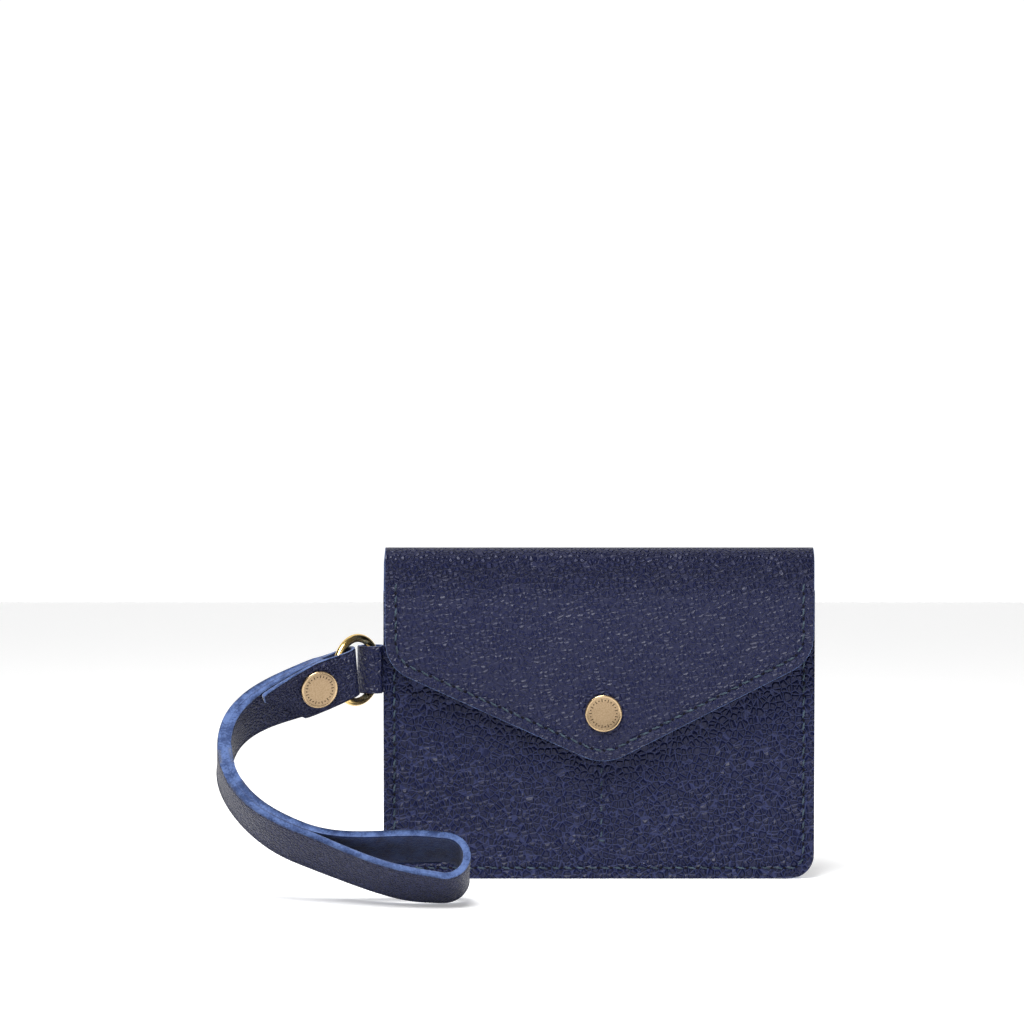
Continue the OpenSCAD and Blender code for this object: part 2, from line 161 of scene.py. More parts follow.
class Nodes:
    """A small helper that adds and links shader nodes."""

    def __init__(self, tree: bpy.types.NodeTree) -> None:
        """Keeps the tree.

        Args:
            tree: The node tree to build in.
        """
        self.tree = tree

    def add(self, kind: str, **settings) -> bpy.types.Node:
        """Adds a node and sets its properties.

        Args:
            kind: Node type.
            **settings: Properties to set.

        Returns:
            The node.
        """
        node = self.tree.nodes.new(kind)
        for key, value in settings.items():
            setattr(node, key, value)
        return node

    def link(self, a: bpy.types.NodeSocket, b: bpy.types.NodeSocket) -> None:
        """Joins an output to an input.

        Args:
            a: Output socket.
            b: Input socket.
        """
        self.tree.links.new(a, b)

    def maths(self, kind: str, a, b=None) -> bpy.types.NodeSocket:
        """Adds a maths node over sockets or constants.

        Args:
            kind: Operation.
            a: First operand.
            b: Second operand, if any.

        Returns:
            The result's socket.
        """
        node = self.add("ShaderNodeMath", operation=kind)
        for k, value in enumerate((a, b)):
            if isinstance(value, bpy.types.NodeSocket):
                self.link(value, node.inputs[k])
            elif value is not None:
                node.inputs[k].default_value = value
        return node.outputs[0]

    def ramp(self, value: bpy.types.NodeSocket, low: float, high: float) -> bpy.types.NodeSocket:
        """Maps a span of a value smoothly to 0..1.

        Args:
            value: The value's socket.
            low: Where the result is 0.
            high: Where the result is 1.

        Returns:
            The result's socket.
        """
        node = self.add("ShaderNodeMapRange", interpolation_type="SMOOTHSTEP")
        self.link(value, node.inputs["Value"])
        node.inputs["From Min"].default_value = low
        node.inputs["From Max"].default_value = high
        return node.outputs["Result"]

    def blend(self, share, a, b) -> bpy.types.NodeSocket:
        """Mixes two colours.

        Args:
            share: Socket of the share of b.
            a: Colour or socket.
            b: Colour or socket.

        Returns:
            The mixed colour's socket.
        """
        node = self.add("ShaderNodeMix", data_type="RGBA")
        self.link(share, node.inputs["Factor"])
        for socket, value in ((node.inputs[6], a), (node.inputs[7], b)):
            if isinstance(value, bpy.types.NodeSocket):
                self.link(value, socket)
            else:
                socket.default_value = (*value, 1.0)
        return node.outputs[2]


def new_group(name: str, inputs: dict[str, float], outputs: list[str]) -> bpy.types.NodeTree:
    """Starts a shader node group with number sockets.

    Args:
        name: The group's name.
        inputs: Names and defaults of its inputs.
        outputs: Names of its outputs.

    Returns:
        The group's tree.
    """
    tree = bpy.data.node_groups.new(name, "ShaderNodeTree")
    for key, value in inputs.items():
        tree.interface.new_socket(key, in_out="INPUT", socket_type="NodeSocketFloat").default_value = value
    for key in outputs:
        tree.interface.new_socket(key, in_out="OUTPUT", socket_type="NodeSocketFloat")
    return tree


def pebble_group() -> bpy.types.NodeTree:
    """Pebbled grain: pillowy cells with thin creases, uneven from place to place.

    Returns:
        A group with outputs Height, Crease and Tone.
    """
    inputs = {"Scale": 900.0, "Evenness": 0.5, "Plain Below": -1.0}
    tree = new_group("pebble_grain", inputs, ["Height", "Crease", "Tone"])
    n = Nodes(tree)
    ins, outs = n.add("NodeGroupInput"), n.add("NodeGroupOutput")
    place = n.add("ShaderNodeTexCoord").outputs["Object"]
    warp = n.add("ShaderNodeTexNoise")
    warp.inputs["Scale"].default_value = 420.0
    warp.inputs["Detail"].default_value = 2.0
    n.link(place, warp.inputs["Vector"])
    shift = n.add("ShaderNodeVectorMath", operation="MULTIPLY_ADD")
    n.link(warp.outputs["Color"], shift.inputs[0])
    shift.inputs[1].default_value = (0.0004, 0.0004, 0.0004)
    n.link(place, shift.inputs[2])
    cells = n.add("ShaderNodeTexVoronoi", feature="DISTANCE_TO_EDGE")
    n.link(shift.outputs[0], cells.inputs["Vector"])
    n.link(ins.outputs["Scale"], cells.inputs["Scale"])
    broad = n.add("ShaderNodeTexNoise")
    broad.inputs["Scale"].default_value = 38.0
    broad.inputs["Detail"].default_value = 2.0
    n.link(place, broad.inputs["Vector"])
    fine = n.add("ShaderNodeTexNoise")
    fine.inputs["Scale"].default_value = 3200.0
    fine.inputs["Detail"].default_value = 2.0
    n.link(place, fine.inputs["Vector"])
    pillow = n.ramp(cells.outputs["Distance"], 0.0, 0.3)
    strength = n.ramp(broad.outputs["Fac"], 0.3, 0.62)
    split = n.add("ShaderNodeSeparateXYZ")
    n.link(place, split.inputs[0])
    above = n.maths("SUBTRACT", split.outputs["Z"], ins.outputs["Plain Below"])
    rise = n.maths("MAXIMUM", n.ramp(above, -0.013, 0.006), 0.42)
    even = n.maths("MULTIPLY", n.maths("MAXIMUM", strength, ins.outputs["Evenness"]), rise)
    grain = n.maths("MULTIPLY", pillow, even)
    n.link(n.maths("ADD", grain, n.maths("MULTIPLY", fine.outputs["Fac"], 0.1)), outs.inputs["Height"])
    # Crease mask: it places the painted light of the crease colour, and the crease roughness.
    crease_painted_light = n.maths("SUBTRACT", 1.0, n.ramp(cells.outputs["Distance"], 0.0, 0.1))
    n.link(n.maths("MULTIPLY", crease_painted_light, even), outs.inputs["Crease"])
    n.link(broad.outputs["Fac"], outs.inputs["Tone"])
    return tree


def fibre_group() -> bpy.types.NodeTree:
    """Short uneven fibres of a cut edge or a suede side.

    Returns:
        A group with outputs Height and Tone.
    """
    tree = new_group("leather_fibre", {"Scale": 1500.0}, ["Height", "Tone"])
    n = Nodes(tree)
    ins, outs = n.add("NodeGroupInput"), n.add("NodeGroupOutput")
    place = n.add("ShaderNodeTexCoord").outputs["Object"]
    fine = n.add("ShaderNodeTexNoise")
    n.link(place, fine.inputs["Vector"])
    n.link(ins.outputs["Scale"], fine.inputs["Scale"])
    fine.inputs["Detail"].default_value = 4.0
    fine.inputs["Roughness"].default_value = 0.7
    broad = n.add("ShaderNodeTexNoise")
    n.link(place, broad.inputs["Vector"])
    broad.inputs["Scale"].default_value = 260.0
    n.link(fine.outputs["Fac"], outs.inputs["Height"])
    n.link(n.ramp(n.maths("ADD", fine.outputs["Fac"], broad.outputs["Fac"]), 0.75, 1.25), outs.inputs["Tone"])
    return tree


def wear_group() -> bpy.types.NodeTree:
    """Uneven antiquing of brass: darker blotches and fine scratches.

    Returns:
        A group with outputs Height and Tone.
    """
    tree = new_group("brass_wear", {"Scale": 2600.0}, ["Height", "Tone"])
    n = Nodes(tree)
    ins, outs = n.add("NodeGroupInput"), n.add("NodeGroupOutput")
    place = n.add("ShaderNodeTexCoord").outputs["Object"]
    spots = n.add("ShaderNodeTexNoise")
    n.link(place, spots.inputs["Vector"])
    n.link(ins.outputs["Scale"], spots.inputs["Scale"])
    spots.inputs["Detail"].default_value = 5.0
    n.link(spots.outputs["Fac"], outs.inputs["Height"])
    n.link(n.ramp(spots.outputs["Fac"], 0.32, 0.68), outs.inputs["Tone"])
    return tree


PEBBLE = pebble_group()
FIBRE = fibre_group()
WEAR = wear_group()


def start_material(name: str) -> tuple[Nodes, bpy.types.Node, bpy.types.Material]:
    """Starts a material with one Principled shader.

    Args:
        name: The material's name.

    Returns:
        Node helper, the Principled node and the material.
    """
    material = bpy.data.materials.new(name)
    material.use_nodes = True
    n = Nodes(material.node_tree)
    return n, material.node_tree.nodes["Principled BSDF"], material


@dataclass(frozen=True)
class GrainLeather:
    """Dyed, pebbled top side of the leather. Its crease colour is painted light: a painted highlight where it
    is lighter than the base, painted shade where it is darker.
    """

    name: str
    base: Colour
    # Colour painted into the creases in place of light: lighter than the base it is a painted highlight,
    # darker it is painted shade.
    crease_painted_light: Colour
    scale: float = 900.0
    evenness: float = 0.5
    depth: float = 0.00022
    roughness: float = 0.42
    plain_below: float = -1.0

    def build(self) -> bpy.types.Material:
        """Makes the material.

        Returns:
            The material.
        """
        n, shader, material = start_material(self.name)
        grain = n.add("ShaderNodeGroup", node_tree=PEBBLE)
        grain.inputs["Scale"].default_value = self.scale
        grain.inputs["Evenness"].default_value = self.evenness
        grain.inputs["Plain Below"].default_value = self.plain_below
        dark, light = (tuple(share * c for c in self.base) for share in (0.86, 1.14))
        toned = n.blend(grain.outputs["Tone"], dark, light)
        # Painted light: the crease mask lays the crease colour over the toned base; lighter than the base it
        # is a painted highlight, darker it is painted shade.
        n.link(n.blend(grain.outputs["Crease"], toned, self.crease_painted_light), shader.inputs["Base Color"])
        rough = n.maths("MULTIPLY_ADD", grain.outputs["Crease"], 0.16)
        rough.node.inputs[2].default_value = self.roughness
        n.link(rough, shader.inputs["Roughness"])
        bump = n.add("ShaderNodeBump")
        bump.inputs["Strength"].default_value = 1.0
        bump.inputs["Distance"].default_value = self.depth
        n.link(grain.outputs["Height"], bump.inputs["Height"])
        n.link(bump.outputs["Normal"], shader.inputs["Normal"])
        shader.inputs["Specular IOR Level"].default_value = 0.26
        return material


@dataclass(frozen=True)
class FibreLeather:
    """Cut edge or suede side of the leather, and thread."""

    name: str
    base: Colour
    light: Colour
    scale: float = 1500.0
    depth: float = 0.0002
    sheen: float = 0.3
    roughness: float = 0.9

    def build(self) -> bpy.types.Material:
        """Makes the material.

        Returns:
            The material.
        """
        n, shader, material = start_material(self.name)
        fibre = n.add("ShaderNodeGroup", node_tree=FIBRE)
        fibre.inputs["Scale"].default_value = self.scale
        n.link(n.blend(fibre.outputs["Tone"], self.base, self.light), shader.inputs["Base Color"])
        bump = n.add("ShaderNodeBump")
        bump.inputs["Distance"].default_value = self.depth
        n.link(fibre.outputs["Height"], bump.inputs["Height"])
        n.link(bump.outputs["Normal"], shader.inputs["Normal"])
        shader.inputs["Roughness"].default_value = self.roughness
        shader.inputs["Sheen Weight"].default_value = self.sheen
        shader.inputs["Specular IOR Level"].default_value = 0.25
        return material


@dataclass(frozen=True)
class Brass:
    """Brass, antiqued or polished."""

    name: str
    base: Colour
    dark: Colour
    roughness: float = 0.3
    depth: float = 0.00002

    def build(self) -> bpy.types.Material:
        """Makes the material.

        Returns:
            The material.
        """
        n, shader, material = start_material(self.name)
        wear = n.add("ShaderNodeGroup", node_tree=WEAR)
        n.link(n.blend(wear.outputs["Tone"], self.dark, self.base), shader.inputs["Base Color"])
        bump = n.add("ShaderNodeBump")
        bump.inputs["Distance"].default_value = self.depth
        n.link(wear.outputs["Height"], bump.inputs["Height"])
        n.link(bump.outputs["Normal"], shader.inputs["Normal"])
        shader.inputs["Metallic"].default_value = 1.0
        shader.inputs["Roughness"].default_value = self.roughness
        return material


@dataclass(frozen=True)
class Palette:
    """All finishes of the wallet."""

    # Body grain: creases lighter than the base, a painted highlight.
    body: GrainLeather = GrainLeather(
        "navy_grain", (0.006, 0.0085, 0.04), (0.02, 0.027, 0.09), 510.0, 0.85, 0.001, 0.36
    )
    # Flap grain, also used on the ring tab: creases darker than the base, painted shade, strongest towards
    # the fold where Plain Below lets the grain rise.
    flap: GrainLeather = GrainLeather(
        "navy_grain_flap", (0.009, 0.0115, 0.044), (0.0045, 0.006, 0.03), 620.0, 0.85, 0.001, 0.36, 0.096
    )
    # Strap grain: creases lighter than the base, a painted highlight.
    strap: GrainLeather = GrainLeather(
        "navy_grain_strap", (0.008, 0.01, 0.038), (0.015, 0.02, 0.065), 800.0, 0.7, 0.0007, 0.4
    )
    edge: FibreLeather = FibreLeather("raw_edge", (0.018, 0.038, 0.12), (0.085, 0.14, 0.32))
    flesh: FibreLeather = FibreLeather(
        "suede_side", (0.004, 0.011, 0.05), (0.011, 0.028, 0.11), 1100.0, 0.0003, 0.15
    )
    thread: FibreLeather = FibreLeather(
        "thread", (0.012, 0.022, 0.038), (0.05, 0.08, 0.11), 2600.0, 0.00012, 0.1, 0.6
    )
    # Near-black finish of the patches in the stitch holes: painted shade.
    hole_painted_shade: FibreLeather = FibreLeather(
        "stitch_hole_painted_shade", (0.001, 0.001, 0.004), (0.002, 0.002, 0.007), 1500.0, 0.0001, 0.0
    )
    cap: Brass = Brass("antique_brass", (0.4, 0.29, 0.18), (0.31, 0.22, 0.13), 0.38)
    rim: Brass = Brass("brass_rim", (0.52, 0.38, 0.23), (0.42, 0.3, 0.17), 0.24)
    mark: Brass = Brass("brass_marks", (0.06, 0.035, 0.02), (0.03, 0.018, 0.012), 0.6)
    ring: Brass = Brass("gold_brass", (0.84, 0.6, 0.24), (0.74, 0.52, 0.19), 0.2)
    wire: Brass = Brass("spring_wire", (0.7, 0.7, 0.68), (0.6, 0.6, 0.58), 0.25)


# ---------------------------------------------------------------- meshes


def finish_mesh(bm: bmesh.types.BMesh, name: str, materials: list[bpy.types.Material]) -> bpy.types.Object:
    """Turns a bmesh in millimetres into a shaded object in metres.

    Args:
        bm: The mesh, which is freed.
        name: The piece's name.
        materials: Its material slots.

    Returns:
        The object.
    """
    bmesh.ops.scale(bm, vec=(MM, MM, MM), verts=bm.verts)
    bmesh.ops.recalc_face_normals(bm, faces=bm.faces)
    for face in bm.faces:
        face.smooth = True
    mesh = bpy.data.meshes.new(name)
    bm.to_mesh(mesh)
    bm.free()
    for material in materials:
        mesh.materials.append(material)
    obj = bpy.data.objects.new(name, mesh)
    bpy.context.scene.collection.objects.link(obj)
    LOG.info("made %s: %d faces", name, len(mesh.polygons))
    return obj


def leather_sheet(
    name: str,
    outer: Grid,
    inner: Grid,
    materials: list[bpy.types.Material],
    rounding: float = 0.3,
    open_row: int | None = None,
) -> bpy.types.Object:
    """Makes a sheet of leather between two grids, with softened cut edges.

    Args:
        name: The piece's name.
        outer: Rows of points of the grain side.
        inner: Rows of points of the flesh side.
        materials: Grain, edge and flesh materials.
        rounding: Radius of the softened edges.
        open_row: Row whose cut is left open, where the leather runs on in another piece.

    Returns:
        The object.
    """
    rows, cols = len(outer), len(outer[0])
    bm = bmesh.new()
    bmesh.ops.create_grid(bm, x_segments=cols - 1, y_segments=rows - 1, size=0.5)

    def spot(v: bmesh.types.BMVert) -> tuple[int, int]:
        """Finds a vertex's place in the two grids.

        Args:
            v: A vertex of the flat grid.

        Returns:
            Its row and column.
        """
        return round((v.co.y + 0.5) * (rows - 1)), round((v.co.x + 0.5) * (cols - 1))

    grown = bmesh.ops.extrude_face_region(bm, geom=list(bm.faces))
    second = {g for g in grown["geom"] if isinstance(g, bmesh.types.BMVert)}
    place = {v: spot(v) for v in bm.verts}
    for v in bm.verts:
        i, j = place[v]
        v.co = inner[i][j] if v in second else outer[i][j]
    cut, rims = [], []
    for face in bm.faces:
        sides = {v in second for v in face.verts}
        kind = Face.EDGE if len(sides) == 2 else (Face.FLESH if True in sides else Face.GRAIN)
        face.material_index = kind.value
        if kind is Face.EDGE:
            at_open = open_row is not None and all(place[v][0] == open_row % rows for v in face.verts)
            (cut if at_open else rims).append(face)
    edges = _border_edges(rims, cut)
    if cut:
        bmesh.ops.delete(bm, geom=cut, context="FACES_ONLY")
    edges = [e for e in edges if e.is_valid]
    if rounding > 0:
        soft = bmesh.ops.bevel(
            bm, geom=edges, offset=rounding, segments=3, profile=0.5, affect="EDGES",
            clamp_overlap=True, material=-1,
        )
        for face in soft["faces"]:
            face.material_index = Face.EDGE.value
    return finish_mesh(bm, name, materials)


def _border_edges(rims: list[bmesh.types.BMFace], cut: list[bmesh.types.BMFace]) -> list[bmesh.types.BMEdge]:
    """Finds the edges between a sheet's rim and its two sides.

    Args:
        rims: Rim faces that stay.
        cut: Rim faces that will be left open.

    Returns:
        The edges to soften.
    """
    rim_set, cut_set = set(rims), set(cut)
    found = []
    for face in rims:
        for edge in face.edges:
            others = [f for f in edge.link_faces if f is not face]
            if others and all(f not in rim_set and f not in cut_set for f in others):
                found.append(edge)
    return found


def lathe(
    name: str, profile: list[tuple[float, float]], seat: Matrix, materials: list[bpy.types.Material],
    bands: Callable[[float], int] | None = None, steps: int = 72,
) -> bpy.types.Object:
    """Turns a profile of (radius, height) points round +Z and seats it.

    Args:
        name: The piece's name.
        profile: Points from the axis or bore outwards and back.
        seat: Matrix that puts the turned piece in place, in millimetres.
        materials: Its material slots.
        bands: Material index for a face whose middle is at a radius.
        steps: Segments round the axis.

    Returns:
        The object.
    """
    bm = bmesh.new()
    verts = [bm.verts.new((r, 0.0, h)) for r, h in profile]
    edges = [bm.edges.new((a, b)) for a, b in zip(verts, verts[1:])]
    if profile[0][0] > 1e-6:
        edges.append(bm.edges.new((verts[-1], verts[0])))
    bmesh.ops.spin(
        bm, geom=verts + edges, cent=(0, 0, 0), axis=(0, 0, 1), angle=2 * math.pi, steps=steps, use_merge=True
    )
    bmesh.ops.remove_doubles(bm, verts=bm.verts, dist=1e-4)
    if bands:
        for face in bm.faces:
            face.material_index = bands(face.calc_center_median().xy.length)
    bmesh.ops.transform(bm, matrix=seat, verts=bm.verts)
    return finish_mesh(bm, name, materials)


def place(obj: bpy.types.Object, body: Body, slot: str, *nodes: str) -> None:
    """Ties a finished piece to its body and hides the CAD nodes that it replaces.

    Args:
        obj: The piece.
        body: The body it rides on.
        slot: Not used.
        *nodes: CAD nodes that it replaces.
    """
    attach(obj, body.value)
    if nodes:
        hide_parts(*nodes)


# ---------------------------------------------------------------- wallet body


@dataclass(frozen=True)
class WalletSize:
    """Sizes of the wallet's body, in millimetres."""

    half_w: float = 70.0
    height: float = 108.0
    corner_r: float = 8.0
    mouth_z: float = 94.0
    pocket_z: float = 88.0
    leather_t: float = 1.2
    pocket_t: float = 1.0
    front_bulge: float = 3.0
    back_bulge: float = 2.5
    fold_r: float = 6.2
    flare_z: float = 93.0
    seam_flat: float = 6.0
    snap_seat: float = 1.7
    snap_x: float = 1.3
    snap_z: float = 54.7
    seam_inset: float = 3.5
    divider_x: float = 0.8
    divider_low: float = 12.5
    divider_high: float = 46.0

    @property
    def seam_y(self) -> float:
        """Inner face of each panel along the seam."""
        return self.pocket_t / 2

    @property
    def fold_y(self) -> float:
        """Axis of the fold."""
        return self.seam_y + self.leather_t + self.back_bulge - self.fold_r

    @property
    def fold_z(self) -> float:
        """Height of the fold's axis."""
        return self.height - self.fold_r

    @property
    def flap_y(self) -> float:
        """Outer face of the flap."""
        return self.fold_y - self.fold_r


SIZE = WalletSize()
EDGE_MARKS = [0.0, 0.7, 1.6, 2.4, 3.0, 3.5, 4.0, 4.7, 5.6, 7.0, 9.0]


class WalletBody:
    """Front panel, card pocket and the back that runs up into the fold."""

    def __init__(self, size: WalletSize, palette: Palette) -> None:
        """Keeps the sizes and builds the shared materials.

        Args:
            size: The body's sizes.
            palette: The finishes.
        """
        self.size = size
        self.leather = [palette.body.build(), palette.edge.build(), palette.flesh.build()]

    def half_width(self, z: float) -> float:
        """Half the width at a height, with the rounded lower corner.

        Args:
            z: Height.

        Returns:
            Half the width.
        """
        s = self.size
        if z >= s.corner_r:
            return s.half_w
        return s.half_w - s.corner_r + math.sqrt(s.corner_r**2 - (s.corner_r - z) ** 2)

    def pillow(self, x: float, z: float) -> float:
        """Share of the full bulge at a place.

        Args:
            x: Place across.
            z: Height.

        Returns:
            0 along the seams, 1 in the middle of the mouth.
        """
        s = self.size
        up = clamp((z - s.seam_flat) / (s.mouth_z - s.seam_flat))
        return smooth((s.half_w - s.seam_flat - abs(x)) / 34) * up * (1.6 - 0.6 * up)

    def seam_dip(self, x: float, z: float) -> float:
        """How far the thread pulls the leather in along the seam.

        Args:
            x: Place across.
            z: Height.

        Returns:
            Depth of the channel.
        """
        s = self.size
        near = min(self.half_width(z) - abs(x), z if z > 0 else 0.0)
        if z < s.corner_r and abs(x) > s.half_w - s.corner_r:
            reach = math.hypot(abs(x) - s.half_w + s.corner_r, z - s.corner_r)
            near = s.corner_r - reach
        pulled = 0.4 * math.exp(-(((near - s.seam_inset) / 0.75) ** 2))
        return pulled - 0.16 * math.exp(-(((near - 1.6) / 0.9) ** 2))

    def front_out(self, x: float, z: float) -> float:
        """How far the front panel stands out.

        Args:
            x: Place across.
            z: Height.

        Returns:
            The distance, without the seam's channel.
        """
        s = self.size
        seat = smooth((math.hypot(x - s.snap_x, z - s.snap_z) - 12) / 18)
        out = mix(s.snap_seat, s.front_bulge * self.pillow(x, z), seat)
        run = smooth((z - s.divider_low + 4) / 8) * smooth((s.divider_high + 6 - z) / 8)
        return out - 0.55 * run * math.exp(-(((x - s.divider_x) / 2.2) ** 2))

    def back_out(self, x: float, z: float) -> float:
        """How far the back panel stands out.

        Args:
            x: Place across.
            z: Height.

        Returns:
            The distance.
        """
        s = self.size
        risen = smooth((z - s.flare_z) / (s.fold_z - s.flare_z))
        return s.back_bulge * (1 - (1 - self.pillow(x, z)) * (1 - risen))

    def heights(self, top: float) -> list[float]:
        """Heights of a panel's rows, dense along the bottom seam.

        Args:
            top: The last row.

        Returns:
            Rising heights.
        """
        marks = [0.0, 0.7, 1.4, 2.1, 2.8, 3.5, 4.3, 5.3, 6.5, 8.0]
        return marks + spaced(8.0, top, round((top - 8.0) / 2))[1:]

    def across(self, z: float) -> list[float]:
        """Places of a panel's columns at a height.

        Args:
            z: Height.

        Returns:
            Rising places.
        """
        full = both_edges(self.size.half_w, EDGE_MARKS, 2.2)
        return [x * self.half_width(z) / self.size.half_w for x in full]

    def panel(
        self, name: str, top: float, outer_y: Callable, inner_y: Callable, rounding: float
    ) -> bpy.types.Object:
        """Makes a panel from two surfaces given as y at each place.

        Args:
            name: The piece's name.
            top: Height of its upper edge.
            outer_y: Grain side.
            inner_y: Flesh side.
            rounding: Radius of the softened edges.

        Returns:
            The object.
        """
        rows = self.heights(top)
        outer = [[Vector((x, outer_y(x, z), z)) for x in self.across(z)] for z in rows]
        inner = [[Vector((x, inner_y(x, z), z)) for x in self.across(z)] for z in rows]
        return leather_sheet(name, outer, inner, self.leather, rounding)

    def fold_point(self, x: float, r: float, turn: float) -> Vector:
        """A point of the fold.

        Args:
            x: Place across.
            r: Distance from the fold's axis.
            turn: Angle in degrees, from the back over the top.

        Returns:
            The point.
        """
        s = self.size
        a = math.radians(turn)
        return Vector((x, s.fold_y + r * math.cos(a), s.fold_z + r * math.sin(a)))

    def build(self) -> None:
        """Makes and places the body's pieces."""
        s = self.size
        front = self.panel(
            "front_leather", s.mouth_z,
            lambda x, z: -s.seam_y - s.leather_t - self.front_out(x, z) + self.seam_dip(x, z),
            lambda x, z: -s.seam_y - self.front_out(x, z), 0.32,
        )
        place(front, Body.WALLET, "navy_leather", "front_panel")
        pocket = self.panel(
            "pocket_leather", s.pocket_z,
            lambda x, z: -s.seam_y - 0.65 * self.front_out(x, z) + 0.02,
            lambda x, z: s.seam_y - 0.65 * self.front_out(x, z) - 0.02, 0.2,
        )
        place(pocket, Body.WALLET, "pocket_leather", "card_pocket")
        rows = self.heights(s.fold_z)
        outer = [
            [
                Vector((x, s.seam_y + s.leather_t + self.back_out(x, z) - self.seam_dip(x, z), z))
                for x in self.across(z)
            ]
            for z in rows
        ]
        inner = [[Vector((x, s.seam_y + self.back_out(x, z), z)) for x in self.across(z)] for z in rows]
        for turn in spaced(0, 90, 18)[1:]:
            narrow = mix(1.0, FLAP.side / s.half_w, smooth(turn / 90))
            xs = [x * narrow for x in self.across(s.fold_z)]
            outer.append([self.fold_point(x, s.fold_r, turn) for x in xs])
            inner.append([self.fold_point(x, s.fold_r - s.leather_t, turn) for x in xs])
        back = leather_sheet("back_leather", outer, inner, self.leather, 0.32, open_row=-1)
        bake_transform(back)
        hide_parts("back_panel")


# ---------------------------------------------------------------- flap


@dataclass(frozen=True)
class FlapSize:
    """Sizes of the flap, in millimetres."""

    side: float = 69.3
    left_z: float = 69.5
    right_z: float = 72.0
    tip_x: float = 1.5
    tip_z: float = 37.5
    corner_r: float = 13.0
    tip_r: float = 15.0
    lining_t: float = 0.6


FLAP = FlapSize()


class Outline:
    """The flap's lower outline, moved inwards by a distance."""

    def __init__(self, flap: FlapSize, inset: float, top: float) -> None:
        """Works out the outline.

        Args:
            flap: The flap's sizes.
            inset: Distance inwards.
            top: Height at which the sides begin.
        """
        left, right = -flap.side + inset, flap.side - inset
        lean_l = math.atan((flap.left_z - flap.tip_z) / (flap.side + flap.tip_x))
        lean_r = math.atan((flap.right_z - flap.tip_z) / (flap.side - flap.tip_x))
        corner_l = Vector((left, flap.left_z + inset / math.cos(lean_l) - inset * math.tan(lean_l)))
        corner_r = Vector((right, flap.right_z + inset / math.cos(lean_r) - inset * math.tan(lean_r)))
        tip = Vector((flap.tip_x, flap.tip_z + inset / math.cos((lean_l + lean_r) / 2)))
        start, end = Vector((left, top)), Vector((right, top))
        self.points = [
            start,
            *self.fillet(start, corner_l, tip, flap.corner_r - inset),
            *self.fillet(corner_l, tip, corner_r, flap.tip_r - inset),
            *self.fillet(tip, corner_r, end, flap.corner_r - inset),
            end,
        ]

    @staticmethod
    def fillet(a: Vector, b: Vector, c: Vector, r: float, count: int = 24) -> list[Vector]:
        """Rounds the corner at b between a and c.

        Args:
            a: Point before.
            b: The corner.
            c: Point after.
            r: Radius.
            count: Steps round the arc.

        Returns:
            Points of the arc.
        """
        u, v = (a - b).normalized(), (c - b).normalized()
        half = math.acos(clamp((u.dot(v) + 1) / 2) * 2 - 1) / 2
        middle = b + (u + v).normalized() * r / math.sin(half)
        p, q = b + u * r / math.tan(half), b + v * r / math.tan(half)
        turn = (p - middle).angle_signed(q - middle)
        first = math.atan2((p - middle).y, (p - middle).x)
        return [
            middle + r * Vector((math.cos(first - turn * k / count), math.sin(first - turn * k / count)))
            for k in range(count + 1)
        ]

    def low(self, x: float) -> float:
        """Height of the outline below a place.

        Args:
            x: Place across.

        Returns:
            The height.
        """
        inside = self.points[1:-1]
        if x <= inside[0].x:
            return inside[0].y
        for a, b in zip(inside, inside[1:]):
            if a.x <= x <= b.x and b.x > a.x:
                return mix(a.y, b.y, (x - a.x) / (b.x - a.x))
        return inside[-1].y


